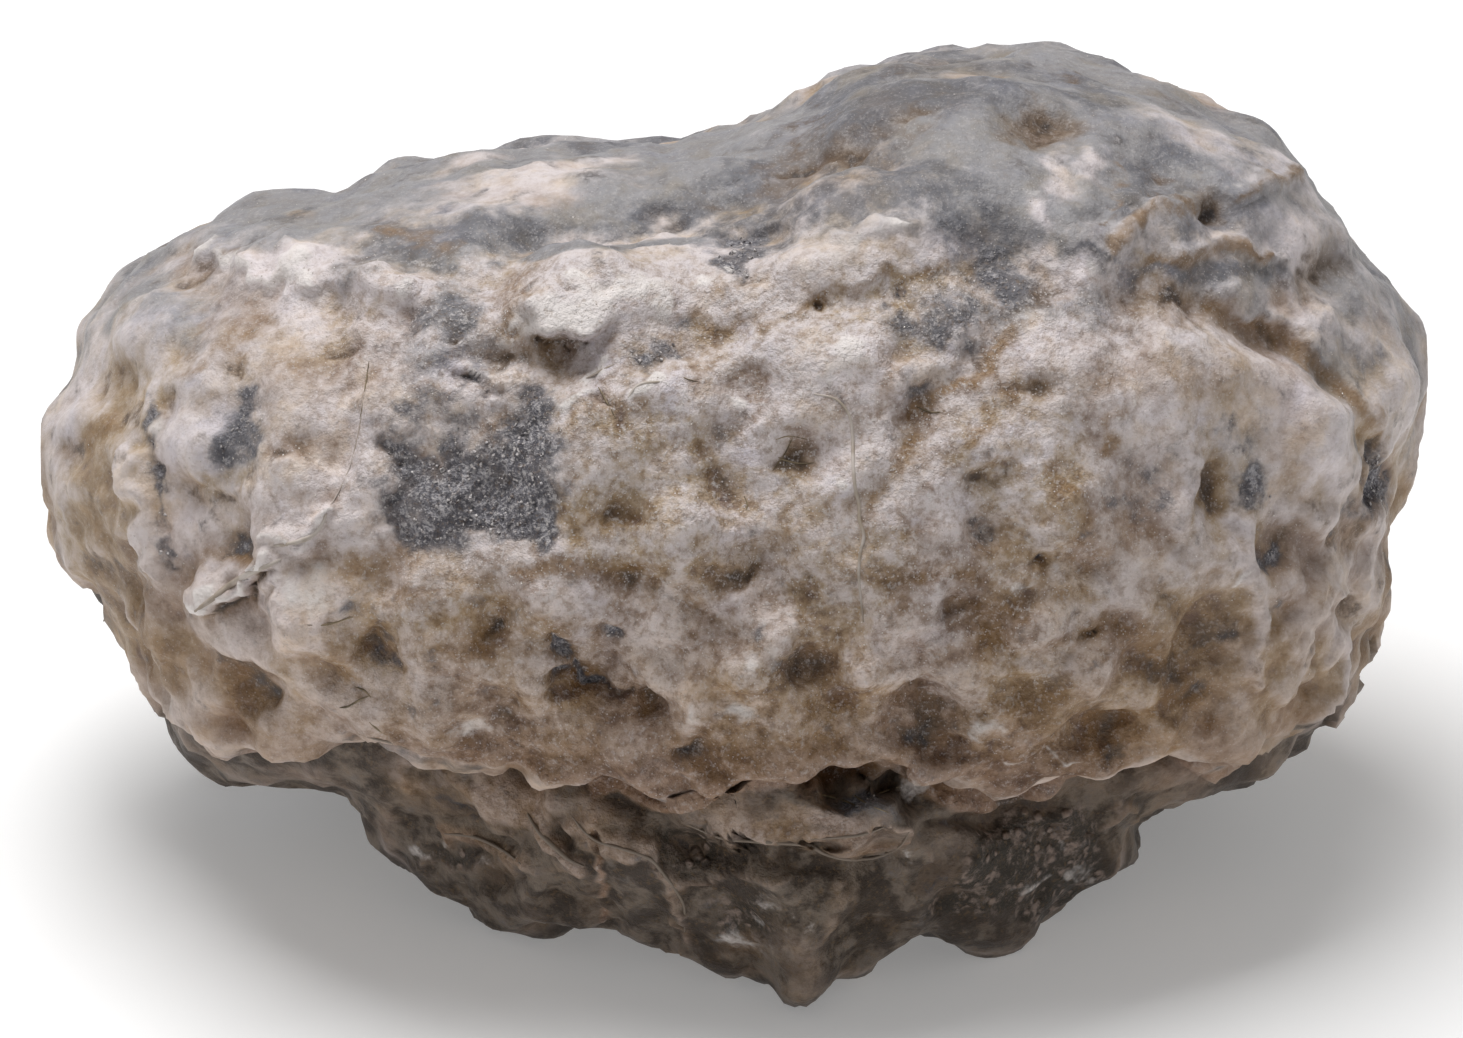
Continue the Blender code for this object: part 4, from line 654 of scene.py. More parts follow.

# %% [markdown]
# ### Sheets on the cup
# Below the crown the calyx is a dark cup, partly its own dark colour and partly painted shade under
# the overhanging crown. Thin sheets of film hang over it and leave pale ridges where they fold, with
# brown hollows between them, which are partly painted shade too.

# %% Pale sheets and ridges on the cup
SHEET_BLOTS = [
    (-6.3, -8.1, 1.4, 0.7, -15, 1), (0.7, -8.25, 2.2, 0.5, 0, 0.5), (2.6, -8.6, 1.6, 0.4, -5, 1),
    (0.3, -12.0, 1.0, 0.6, 0, 0.6), (2.0, -12.4, 0.8, 0.8, 0, 0.5), (-8.8, -8.0, 1.2, 0.6, -20, 0.5),
    (-7.0, -7.6, 1.6, 0.45, -12, 0.9), (-9.4, -7.2, 0.9, 0.4, -30, 0.8), (-5.6, -8.0, 0.6, 0.4, 0, 0.7),
    (-3.9, -8.5, 1.0, 0.55, -20, 0.7), (0.6, -8.7, 1.9, 0.42, -4, 1), (3.0, -8.6, 1.6, 0.5, -15, 0.9),
    (3.6, -9.4, 1.2, 0.3, -8, 1), (6.9, -7.8, 1.0, 0.45, 0, 0.4), (10.2, -7.7, 1.6, 0.5, 5, 0.4),
    (12.6, -7.3, 1.2, 0.6, 0, 0.7), (11.3, -9.9, 0.4, 0.7, 0, 1), (6.4, -9.3, 0.9, 0.6, 0, 0.35),
    (9.7, -10.3, 0.9, 0.4, 25, 0.4), (3.2, -10.6, 0.4, 0.9, 0, 0.35), (-9.9, -9.3, 0.35, 1.3, 12, 0.7),
    (-5.8, -11.2, 0.3, 0.7, 0, 0.3), (-4.1, -10.8, 0.35, 0.7, 30, 0.35),
    (-12.4, -7.4, 1.4, 0.5, -5, 0.6), (-15.6, -6.4, 1.0, 0.5, -30, 0.45),
    (15.6, -7.0, 1.2, 0.4, 35, 0.35), (2.1, -13.3, 0.5, 0.5, 0, 0.4), (-0.3, -12.6, 0.8, 0.3, 0, 0.25),
    (8.3, -11.7, 1.0, 0.4, 25, 0.3),
]
SHEET_STREAKS = [
    ([(-8.2, -8.95), (-7.3, -9.1), (-6.7, -9.4), (-6.2, -9.8)], 0.2, 0.9),
    ([(-5.9, -8.4), (-5.4, -8.9), (-5.0, -9.4), (-4.4, -9.85)], 0.24, 1),
    ([(-4.6, -8.5), (-4.2, -8.8), (-3.9, -9.2), (-3.2, -9.45), (-2.6, -9.5)], 0.2, 0.8),
    ([(-2.5, -9.5), (-2.2, -10.0), (-1.8, -10.5), (-1.5, -10.9), (-1.4, -11.6), (-1.4, -12.2)],
     0.17, 0.7),
    ([(-1.9, -10.3), (-0.9, -10.35), (-0.3, -10.2), (0.6, -10.1), (1.6, -10.05)], 0.14, 0.6),
    ([(-9.0, -9.9), (-6.5, -10.0), (-5.6, -10.05), (-4.6, -10.0)], 0.15, 0.5),
    ([(2.1, -7.7), (2.8, -7.8), (3.4, -7.95)], 0.12, 0.9),
    ([(2.0, -9.1), (3.0, -9.0), (4.0, -9.0), (4.3, -8.8), (4.7, -8.6), (5.0, -8.65)], 0.12, 1),
    ([(4.95, -8.7), (4.95, -9.1), (4.7, -9.4)], 0.14, 1),
    ([(5.3, -9.2), (5.8, -9.9), (6.4, -10.1), (6.9, -9.7)], 0.12, 0.5),
    ([(2.9, -10.2), (3.0, -11.0), (2.8, -11.9)], 0.16, 0.5),
    ([(10.4, -8.7), (11.0, -8.4), (11.6, -8.3)], 0.2, 0.7),
]
CUP_HOLLOWS = [
    (-7.5, -8.45, 0.7, 0.3, -10, 0.9), (-6.1, -9.2, 0.6, 0.4, 0, 0.5),
    (-4.7, -9.1, 0.3, 0.35, -40, 0.9), (-4.3, -9.6, 0.35, 0.25, 0, 0.6),
    (-6.9, -10.3, 0.6, 0.35, 0, 0.9), (-8.0, -11.0, 0.5, 0.25, -20, 0.8),
    (-5.0, -11.0, 0.3, 0.5, 0, 0.6), (-3.4, -11.2, 0.3, 0.4, 0, 0.5), (-1.25, -9.4, 0.8, 0.55, 0, 1),
    (1.3, -9.6, 1.3, 0.2, -4, 0.8), (2.3, -8.85, 0.7, 0.16, -2, 0.8), (4.3, -8.95, 0.35, 0.14, 20, 0.9),
    (3.4, -8.15, 0.3, 0.16, 0, 1), (4.3, -7.4, 0.5, 0.2, 10, 0.9), (3.1, -7.6, 0.7, 0.1, -3, 0.8),
    (6.4, -8.6, 0.9, 0.25, 0, 0.7), (8.8, -8.3, 0.9, 0.3, 10, 0.8), (10.4, -9.05, 0.3, 0.25, 0, 1),
    (5.4, -10.3, 0.5, 0.25, 0, 0.6), (6.2, -11.0, 0.9, 0.3, 0, 0.6), (4.2, -11.6, 0.7, 0.3, 0, 0.6),
    (7.0, -11.6, 0.6, 0.3, 0, 0.5), (9.2, -9.2, 0.4, 0.3, 0, 0.7), (0.6, -12.7, 0.3, 0.15, 0, 0.6),
    (0.2, -8.1, 1.2, 0.3, -5, 0.6), (-0.9, -8.35, 0.7, 0.3, -10, 0.6), (8.0, -8.2, 1.3, 0.6, 0, 0.8),
    (-8.2, -8.1, 0.9, 0.4, -15, 0.7), (6.0, -10.2, 0.9, 0.8, 0, 0.7),
]
sheets = np.maximum(blots(SHEET_BLOTS, 0.0, 1.6), streaks(SHEET_STREAKS, 0.1, 1.8))
cup_hollows = blots(CUP_HOLLOWS, 0.0, 1.6)
# Painted shade: the cup's hollows darken too, partly as shade.
dark = np.maximum(dark, cup_hollows)
print("Marks on the cup:", len(SHEET_BLOTS) + len(SHEET_STREAKS) + len(CUP_HOLLOWS))

# %% [markdown]
# ## Relief
# Now the marks push the surface in and out. The crown ends below in a torn lip, drawn here as a line
# with a sharp edge, because it throws the one hard shadow of the stone. A second, shorter lip hangs
# under it. Their lines are looked up with very little push from the noise, so that they stay crisp.

# %% Torn lips
CROWN_LIP = [
    (-16.5, -5.45), (-15.5, -5.9), (-14.8, -6.3), (-13.8, -6.5), (-12.7, -6.75), (-11.7, -6.5),
    (-10.7, -6.3), (-10.0, -6.3), (-9.3, -6.6), (-8.7, -6.85), (-8.3, -7.1), (-8.0, -7.0), (-6.3, -7.1),
    (-5.7, -7.7), (-4.9, -7.6), (-4.15, -7.55), (-4.1, -8.0), (-3.6, -7.9), (-3.3, -7.7), (-3.1, -7.85),
    (-2.5, -8.2), (-2.0, -8.35), (-1.0, -8.2), (-0.4, -7.9), (0.3, -7.75), (2.0, -7.5), (3.0, -7.4),
    (4.3, -7.1), (4.6, -7.0), (5.0, -7.5), (5.6, -7.9), (6.2, -8.25), (7.0, -8.4), (7.9, -8.2),
    (8.6, -7.9), (9.5, -7.5), (10.5, -7.1), (11.5, -6.9), (12.2, -6.6), (13.7, -7.4), (14.2, -7.1),
    (15.1, -6.5), (16.3, -6.1), (17.2, -5.2),
]
SECOND_LIP = [
    (-1.0, -8.8), (0.0, -9.1), (1.5, -9.2), (3.2, -9.75), (4.2, -9.65), (5.0, -9.2),
]
LIP_PUSH, LIP_FINE_PUSH = 0.08, 0.06
LIP_SHARPNESS = 0.09
LIP_FADE = (-0.2, 0.8)
LIP_OUT, CROWN_BACK, SECOND_BACK = 0.14, 0.24, 0.2
CUP_TOP = -4.5
lips_drawn_at = face[:, :2] + LIP_PUSH * wobble + LIP_FINE_PUSH * fine_wobble


def lip(line, out, back, reach):
    """Height of a torn edge: out above the line, back below it, with a sharp step between."""
    signed = from_line(lips_drawn_at, line)
    from_left, from_right = across - line[0][0], line[-1][0] - across
    ends = smooth_step(*LIP_FADE, from_left) * smooth_step(*LIP_FADE, from_right)
    above = smooth_step(-LIP_SHARPNESS, LIP_SHARPNESS, signed)
    raised = above * out * np.exp(-np.maximum(signed, 0) / reach)
    dropped = (1 - above) * back * np.exp(np.minimum(signed, 0) / reach)
    return shown * ends * (raised - dropped)


lips = lip(CROWN_LIP, LIP_OUT, CROWN_BACK, 0.5) + lip(SECOND_LIP, LIP_OUT, SECOND_BACK, 0.4)
below_line = smooth_step(0.1, -0.15, from_line(lips_drawn_at, CROWN_LIP))
below_lip = shown * below_line * (upward < CUP_TOP)
# Painted shade: the cup mask darkens the cup, partly its own colour and partly the shade under the
# crown.
cup = below_lip * (1 - 0.85 * sheets)
print("The lips stand", round(float(lips.max() - lips.min()), 2), "mm high at most")

# %% [markdown]
# The rest of the relief has two sources. Noise gives the knots and wrinkles of the film, which are
# strong low on the crown and fade in the calm places, and a grainy surface where the grey rock shows.
# The marks give the rest: ridges and pale crystal stand proud, and hollows and the rock lie low.

# %% Wrinkles, knots and grain
def mixed_lumps(*rows):
    """Lumps of several sizes added together, each given as its height, size and seed."""
    return sum(height * lumps(skin, size, seed) for height, size, seed in rows)


wrinkles = mixed_lumps((0.10, 0.8, 5), (0.06, 0.4, 6))
knots = mixed_lumps((0.38, 1.9, 7), (0.27, 1.15, 10))
grain = mixed_lumps((0.09, 0.3, 8), (0.07, 0.2, 9))
print("Knots reach", round(float(knots.max()), 2), "mm and grain", round(float(grain.max()), 2), "mm")

# %% Marks pushed in and out
RIDGE_HEIGHT, CRYSTAL_HEIGHT, SHEET_HEIGHT = 0.3, 0.06, 0.28
PIT_DEPTH, DISH_DEPTH, ROCK_DEPTH, CUP_HOLLOW_DEPTH = 0.12, 0.2, 0.1, 0.3
lower = smooth_step(3, -4, upward)
worn = 0.75 + 0.5 * lower - 0.35 * shown * smooth_step(6, 9.5, upward)
worn = worn * (1 - 0.65 * calm) * (1 - 0.4 * below_lip)
relief = lips + worn * (wrinkles + knots) + grain * (0.2 + rock)
relief += RIDGE_HEIGHT * ridges + CRYSTAL_HEIGHT * white
relief -= PIT_DEPTH * dark + (DISH_DEPTH + 0.1 * lower) * sunk + ROCK_DEPTH * rock
relief += below_lip * (SHEET_HEIGHT * sheets - CUP_HOLLOW_DEPTH * cup_hollows)
print("Relief of the show face:", np.round(np.percentile(relief[shown > 0.5], (1, 50, 99)), 2), "mm")

# %% [markdown]
# The lip runs round the hidden sides too. There it has no drawn line, so it follows a height that
# noise lifts and lowers.

# %% The lip behind and below
LIP_HEIGHT, LIP_REACH = 5.6, 0.6
BACK_LIP_OUT, BACK_LIP_IN, BACK_CUP_IN = 0.12, 0.2, 0.15
lip_wander = mixed_lumps((3.2, 6.0, 18), (1.8, 2.0, 19), (0.7, 0.7, 23))
above_lip = above_floor - LIP_HEIGHT - lip_wander
behind_lip = hidden * smooth_step(0.9, -0.7, above_lip)
edge_out = np.where(above_lip > 0, BACK_LIP_OUT, -BACK_LIP_IN)
edge_out = edge_out * np.exp(-np.abs(above_lip) / LIP_REACH)
relief += hidden * (edge_out + mixed_lumps((0.45, 3.2, 24))) - BACK_CUP_IN * behind_lip
below_lip = np.maximum(below_lip, behind_lip)
cup = np.maximum(cup, behind_lip)
sculpted = skin + outwards * relief[:, None]
print("The cup covers", round(100 * float((cup > 0.5).mean()), 1), "% of the points")

# %% [markdown]
# Two sheets, one knob and one fold at the left stand further out than the solid has them. Each is a
# blot with a steep edge, and inside it the surface is brought forward to a plane that has a depth and
# a tilt of its own. A slot stays half open between the sheets and the lip above them.

# %% Sheets, a knob and a fold brought forward
SHEET_OUT = [(0.6, -8.15, 2.9, 0.95, -3, 1), (3.2, -8.4, 2.2, 0.9, 0, 1)]
SHEET_SLOT = [(3.4, -7.8, 1.2, 0.22, -8, 0.5)]
KNOB_OUT = [(-4.65, 5.9, 1.3, 0.8, -10, 1)]
FOLD_OUT = [(-12.2, -2.3, 1.1, 1.2, 0, 1)]
sheet_plane = 8.0 - 0.15 * np.abs(across - 0.5) + 0.35 * (upward + 7.5)
knob_plane = 9.2 + 0.35 * (6.5 - upward)
fold_plane = 8.15 - 0.1 * (upward + 1.2)
brought_out = (
    (blots(SHEET_OUT, 0.8, 1.1) * (1 - blots(SHEET_SLOT, 0.3, 1.4)), sheet_plane),
    (blots(KNOB_OUT, 0.8, 1.12), knob_plane),
    (blots(FOLD_OUT, 0.6, 1.3), fold_plane),
)
texture = 0.5 * worn * (wrinkles + knots)
depth_now = on_face(sculpted)[:, 2]
for share, plane in brought_out:
    sculpted += FACE_OUT * (share * np.maximum(plane + texture - depth_now, 0))[:, None]
sculpted = np.clip(sculpted, BOX_LOW, BOX_HIGH)
outwards = place(sculpted)
print("Relief runs from", round(relief.min(), 2), "to", round(relief.max(), 2), "mm")

# %% [markdown]
# ## How sheltered each point is
# Sheltered places are coloured darker and browner, partly as dust and stain that gather there and
# partly as painted shade, the darkening that hollows show. We compare each point with its blurred
# neighbourhood: where the blurred surface lies above it, the point is in a hollow. This works on
# every side of the stone, so the back and the underside are coloured by the same rule.

# %% Shelter
SHELTER_BLUR = 60
# Painted shade: this value darkens and browns the film in hollows, partly as stain and partly as shade.
shelter = ((blurred(sculpted, SHELTER_BLUR) - sculpted) * outwards).sum(1)
print("Shelter:", np.round(np.percentile(shelter, (5, 50, 95)), 3), "mm")

# %% [markdown]
# The hidden sides have no drawn marks. There the grey rock, the stains and the pale flecks come from
# noise, gathered in the sheltered places, in about the same shares as on the show face. Shelter also
# makes the hollows dark, the film browner in sheltered places and clearer on open ones, which is
# partly painted shade and painted light. The top is greyer than the rest, as the saddle is.

# %% Masks for the hidden sides
top = smooth_step(10, 17, above_floor)
turned_away = smooth_step(-0.15, -0.4, facing)
rock_noise = mixed_lumps((1, 4.5, 11), (0.35, 1.2, 12)) + 0.6 * shelter
rock = np.maximum(rock, turned_away * smooth_step(0.3, 0.5, rock_noise))
stain_noise = mixed_lumps((1, 1.8, 13), (0.3, 0.6, 14)) + 0.7 * shelter
ochre = np.maximum(ochre, 0.8 * hidden * smooth_step(0.15, 0.45, stain_noise))
ochre *= 1 - 0.9 * hidden * top
# Painted shade: the hidden sides get dark hollows where they are sheltered.
hollow_noise = mixed_lumps((0.5, 1.4, 15)) + 1.6 * shelter
dark = np.maximum(dark, hidden * smooth_step(0.35, 0.6, hollow_noise))
fleck_noise = mixed_lumps((1, 1.1, 16), (0.4, 0.35, 17)) - 0.8 * shelter
flecks = smooth_step(0.42, 0.75, fleck_noise)
white = np.maximum(white, 0.45 * hidden * flecks * (1 - 0.7 * behind_lip) * (1 - 0.6 * top))
film_noise = mixed_lumps((1, 3.6, 25), (0.4, 1.3, 26))
ash = ash + hidden * (0.3 + (0.55 + 1.6 * shown) * top - 0.35 * film_noise)
# Painted shade and light: on the hidden sides umber darkens sheltered film and the clear mask lifts open
# film.
umber = np.maximum(umber, hidden * smooth_step(0.1, 0.5, film_noise + 0.8 * shelter))
clear_noise = -film_noise - 0.8 * shelter
clear_and_painted_light = np.maximum(clear_and_painted_light, (1 - 0.85 * top) * hidden * smooth_step(0.1, 0.6, clear_noise))
slate_noise = mixed_lumps((1, 3.2, 20), (0.5, 0.9, 21)) + 0.25 * top
slate = np.maximum(slate, 0.6 * hidden * smooth_step(0.15, 0.5, slate_noise))
print("Hidden ochre:", round(100 * float((ochre[hidden > 0.5] > 0.4).mean()), 1), "% of the points")

# %% [markdown]
# A few masks go by height: the film is browner low down, brownest at the foot of the crown, and
# cleaner on top. The darkening low down and at the foot is partly brown film and partly painted shade
# on the lower side. The cup carries crumbs of rock at its right and in one hole. The bulge of the
# crown is scuffed most, and the finest specks will be strongest there. Each mask is then stored on
# the stone as a named value for each point, which the finish reads.

# %% Masks by height, crumbs, and all masks stored
def paint(mesh, name, values):
    """Stores a value for each point of a mesh under a name."""
    attribute = mesh.attributes.new(name, "FLOAT", "POINT")
    attribute.data.foreach_set("value", np.asarray(values, np.float32))


def on_bulge(half_width, whole_below, gone_above):
    """How much each point belongs to the bulge of the crown, fading at its sides and its top."""
    sides = np.exp(-((across / half_width) ** 4))
    return shown * sides * smooth_step(gone_above, whole_below, upward)


CRUMB_BLOTS = [
    (7.9, -9.9, 1.8, 1.3, 10, 1), (9.5, -10.0, 1.5, 1.1, 20, 1), (6.3, -11.0, 1.2, 0.8, 0, 0.7),
    (9.8, -8.9, 1.2, 0.6, 10, 0.8), (-8.2, -9.6, 1.0, 0.5, 0, 0.7), (0.3, -11.4, 1.4, 1.1, 0, 0.6),
    (-1.3, -9.4, 1.0, 0.75, 0, 1), (8.9, -11.2, 1.0, 0.5, 20, 0.8), (7.6, -8.9, 1.2, 0.4, 0, 0.6),
]
# Painted shade: darker towards the bottom, partly brown film and partly shade on the lower side.
low = np.maximum(shown * smooth_step(2.0, -8.0, upward), hidden * smooth_step(16, 7, above_floor))
upper = np.maximum(shown * smooth_step(3.0, 9.0, upward), hidden * smooth_step(14, 20, above_floor))
masks = {
    "rock": rock, "ash": ash, "slate": slate, "dark": dark, "sunk": sunk, "ochre": ochre,
    "white": white, "umber": umber, "clear_and_painted_light": clear_and_painted_light, "ridge": ridges, "calm": calm, "cup": cup,
    "low": low, "upper": upper,
    "foot": shown * smooth_step(-4.8, -8.2, upward) * (1 - 0.6 * below_lip),
    "crumb": blots(CRUMB_BLOTS, 0.2, 1.5) * below_lip,
    "scuffed": on_bulge(13, 6.5, 8.5),
    "shelter": np.clip(0.5 + 1.2 * shelter, 0, 1),
}
for name, values in masks.items():
    paint(stone_mesh, name, values)
print("Painted masks:", ", ".join(masks))

# %% [markdown]
# ## The stone's finish
# One material covers the stone. It starts from the pale lime film and lays the other finishes over it
# one by one, each where its mask is high. One image wrapped round the stone would be simpler, but it
# would blur from close by and stretch on the sides, while nodes stay sharp at any size. First come
# helpers that each add one node, or a few, so that a layer takes only one line.

# %% Helpers for materials
def colour(red, green, blue):
    """A screen colour, from 0 to 255, as the linear colour that the shader wants."""
    shares = np.array((red, green, blue)) / 255
    return (*np.where(shares <= 0.04045, shares / 12.92, ((shares + 0.055) / 1.055) ** 2.4), 1.0)


def new_material(name):
    """A material of this name, with its node tree and its shader."""
    material = bpy.data.materials.new(name)
    material.use_nodes = True
    tree = material.node_tree
    return material, tree, tree.nodes["Principled BSDF"]


def feed(tree, socket, value):
    """Gives a socket its value, which is another node's socket, a number or a colour."""
    if isinstance(value, bpy.types.NodeSocket):
        tree.links.new(value, socket)
    else:
        socket.default_value = value


def math_node(tree, operation, first, second):
    """The result of a sum of one kind. Each operand is a socket or a number."""
    made = tree.nodes.new("ShaderNodeMath")
    made.operation = operation
    feed(tree, made.inputs[0], first)
    feed(tree, made.inputs[1], second)
    return made.outputs[0]


def ramp(tree, value, low, high, start=0.0, end=1.0):
    """The value, mapped smoothly from low..high to start..end."""
    made = tree.nodes.new("ShaderNodeMapRange")
    made.interpolation_type = "SMOOTHSTEP"
    for name, number in (
        ("Value", value), ("From Min", low), ("From Max", high), ("To Min", start), ("To Max", end),
    ):
        feed(tree, made.inputs[name], number)
    return made.outputs["Result"]


def pattern_node(tree, kind, size, **settings):
    """A pattern fixed to the object, of this kind and this size in millimetres."""
    fixed = tree.nodes.new("ShaderNodeTexCoord")
    made = tree.nodes.new(kind)
    made.inputs["Scale"].default_value = 1 / (size * MM)
    for name, number in settings.items():
        made.inputs[name].default_value = number
    tree.links.new(fixed.outputs["Object"], made.inputs["Vector"])
    return made


def noise_node(tree, size, detail=2.0, roughness=0.5):
    """Noise with lumps of this size in millimetres."""
    made = pattern_node(tree, "ShaderNodeTexNoise", size, Detail=detail, Roughness=roughness)
    return made.outputs["Fac"]


def dots_node(tree, apart, width, most):
    """Round dots this many millimetres apart and as wide as a share of that, with some left out."""
    made = pattern_node(tree, "ShaderNodeTexVoronoi", apart)
    round_dots = ramp(tree, made.outputs["Distance"], width, 0.35 * width)
    kept_dots = ramp(tree, made.outputs["Color"], 0.4, 0.7, 0, most)
    return math_node(tree, "MULTIPLY", round_dots, kept_dots)


def mask_node(tree, name):
    """A mask that is stored on the mesh."""
    made = tree.nodes.new("ShaderNodeAttribute")
    made.attribute_name = name
    return made.outputs["Fac"]


def blend(tree, share, below, above, mode="MIX"):
    """One colour laid over another by a share. Each colour is a socket or a colour."""
    made = tree.nodes.new("ShaderNodeMix")
    made.data_type = "RGBA"
    made.blend_type = mode
    inputs = {s.name: s for s in made.inputs if s.type == "RGBA"}
    tree.links.new(share, made.inputs["Factor"])
    feed(tree, inputs["A"], below)
    feed(tree, inputs["B"], above)
    return [s for s in made.outputs if s.type == "RGBA"][0]


# %% [markdown]
# Colours are named by how they look and given as on a screen. The noises run from lumps of four
# millimetres down to a tenth, and five of them are shared by all the layers, so that the layers fit
# each other like real stains. `patchy` is the main tool: it breaks up the edge of a mask by noise, so
# that no mark looks drawn.

# %% Colours and noises of the stone
FILM_MAUVE = colour(219, 209, 208)
FILM_OLIVE = colour(178, 156, 128)
FILM_UMBER = colour(168, 149, 138)
FILM_BROWN = colour(134, 106, 72)
FILM_PLUM = colour(120, 100, 95)
MOTTLE_TINT = colour(213, 205, 197)
FILM_FROST = colour(224, 217, 215)
FILM_ASH = colour(133, 133, 136)
FILM_SLATE = colour(98, 98, 104)
LOW_TINT = colour(236, 224, 208)
UMBER_TINT = colour(231, 224, 215)
CLEAR_AND_PAINTED_LIGHT_LIFT = colour(84, 81, 87)
FOOT_TINT = colour(206, 190, 176)
WARM_TINT = colour(255, 245, 226)
COOL_TINT = colour(240, 243, 252)
OCHRE = colour(146, 114, 72)
HOLLOW_BROWN = colour(100, 82, 66)
HOLLOW_DARK = colour(58, 50, 47)
ROCK_DARK = colour(89, 87, 93)
ROCK_PALE = colour(174, 171, 175)
CALCITE = colour(240, 233, 229)
CUP_DARK = colour(45, 36, 28)
CUP_GREY = colour(122, 110, 98)
CRUMB_PALE = colour(148, 130, 119)
CRUMB_DARK = colour(50, 43, 34)

stone_material, tree, shader = new_material("weathered_limestone")
broad_noise = noise_node(tree, 4.0, 2)
mottle_noise = noise_node(tree, 1.7, 9, 0.64)
edge_noise = noise_node(tree, 0.8, 7, 0.64)
fine_noise = noise_node(tree, 0.25, 4, 0.7)
grain_noise = noise_node(tree, 0.11, 2, 0.7)


def product(first, *others):
    """Some sockets or numbers multiplied together."""
    for other in others:
        first = math_node(tree, "MULTIPLY", first, other)
    return first


def total(first, *others):
    """The sum of some sockets or numbers."""
    for other in others:
        first = math_node(tree, "ADD", first, other)
    return first


def mask(name, amount=None):
    """A mask of the stone, times an amount if one is given."""
    made = mask_node(tree, name)
    return made if amount is None else product(made, amount)


def centred(value, amount):
    """Noise shifted to swing evenly about 0, by this amount."""
    return product(math_node(tree, "SUBTRACT", value, 0.5), amount)


def patchy(name, roughness, low, high, most=1.0):
    """How much of a finish shows at each point: its mask with an edge broken up by noise."""
    return ramp(tree, total(mask(name), centred(edge_noise, roughness)), low, high, 0, most)


def lay(share, above, mode="MIX"):
    """Lays one more colour over the surface by a share."""
    global surface
    surface = blend(tree, share, surface, above, mode)


# %% [markdown]
# ### The lime film
# The film runs from a pale mauve, where it is thick, through olive and umber to brown and plum, where
# it is thin. One sum of noises and masks says how stained each point is, how much painted shade it
# takes in hollows and low down, and how much painted light in the clear places, and three ramps turn
# that sum into colour. Small mottles are strongest on the scuffed bulge.

# %% Mottled film
speck_strength = product(total(mask("scuffed"), 0.42), 0.78)
small_mottle = product(centred(noise_node(tree, 0.45, 4, 0.6), 0.95), speck_strength)
# Painted shade: shelter, sunk and low darken the film in hollows and low down, partly stain and partly
# shade; clear lifts it, partly as painted light.
stain_and_shade = total(
    mottle_noise, centred(broad_noise, 0.3), centred(mask("shelter"), 0.5),
    centred(fine_noise, 0.16), small_mottle, mask("sunk", 0.1), mask("ochre", 0.1),
    mask("white", -0.15), mask("ridge", -0.2), mask("umber", 0.13), mask("clear_and_painted_light", -0.1),
    mask("low", 0.08), mask("upper", -0.06), mask("calm", -0.05),
)
olive = blend(tree, ramp(tree, broad_noise, 0.4, 0.6), FILM_UMBER, FILM_OLIVE)
brown = blend(tree, ramp(tree, noise_node(tree, 1.5, 3), 0.42, 0.6), FILM_BROWN, FILM_PLUM)
surface = blend(tree, ramp(tree, stain_and_shade, 0.32, 0.75), FILM_MAUVE, olive)
lay(ramp(tree, stain_and_shade, 0.6, 0.96, 0, 0.95), brown)
lay(ramp(tree, edge_noise, 0.5, 0.78, 0, 0.4), olive)
print("The film is mixed by", len(tree.nodes), "nodes")

# %% [markdown]
# ### Tints of the film
# Next come the tints, each over the last: ash and slate where rock lies just under the film, brown
# round the hollows, ochre along the flanks, darker umber and lighter clear places, and the browner
# foot of the crown. The brown round the hollows, the umber and the foot are partly painted shade, and
# the clear places partly painted light. Slow noise then turns some places a little warmer and others
# cooler.

# %% Tints
greyness = total(
    mask("ash"), mask("umber", -0.6), mask("clear_and_painted_light", -0.8), centred(edge_noise, 1.2),
)
lay(ramp(tree, greyness, 0.1, 0.95, 0, 0.85), FILM_ASH)
lay(patchy("slate", 1.8, 0.15, 0.85, 0.8), FILM_SLATE)
# Painted shade: brown round the hollows, partly stain and partly shade.
lay(patchy("sunk", 2.2, 0.35, 1.2, 0.5), FILM_BROWN)
lay(patchy("ochre", 2.2, 0.2, 1.2, 0.75), OCHRE)
# Painted shade: this darkens the umber places, partly brown film and partly shade.
lay(mask("umber"), UMBER_TINT, "MULTIPLY")
# Painted light: this adds light to the clear places, partly thick film and partly light on places the
# relief shades.
lay(mask("clear_and_painted_light"), CLEAR_AND_PAINTED_LIGHT_LIFT, "ADD")
# Painted shade: the film darkens towards the bottom, partly brown film and partly shade.
lay(mask("low"), LOW_TINT, "MULTIPLY")
# Painted shade: the foot of the crown, above the lip, darkens further, partly brown film and partly
# shade.
lay(mask("foot"), FOOT_TINT, "MULTIPLY")
warmth = total(noise_node(tree, 1.1, 4, 0.6), centred(noise_node(tree, 3.3, 2), 0.6))
lay(ramp(tree, warmth, 0.5, 0.75, 0, 0.7), WARM_TINT, "MULTIPLY")
lay(ramp(tree, warmth, 0.5, 0.25, 0, 0.7), COOL_TINT, "MULTIPLY")
small_spots = ramp(tree, noise_node(tree, 0.32, 5, 0.7), 0.45, 0.65)
lay(product(small_spots, speck_strength), MOTTLE_TINT, "MULTIPLY")

# %% [markdown]
# ### Cup, hollows and rock
# The cup is nearly black brown, mottled with grey, partly its own colour and partly painted shade
# under the crown, and its crumbs are pale grains on a dark ground.
# The hollows darken in two steps, brown and then nearly black, partly dark rock and partly painted
# shade in the pits. The grey rock comes over all of them: a slate rim, and inside it dark and pale
# grains mixed by the finest noises.

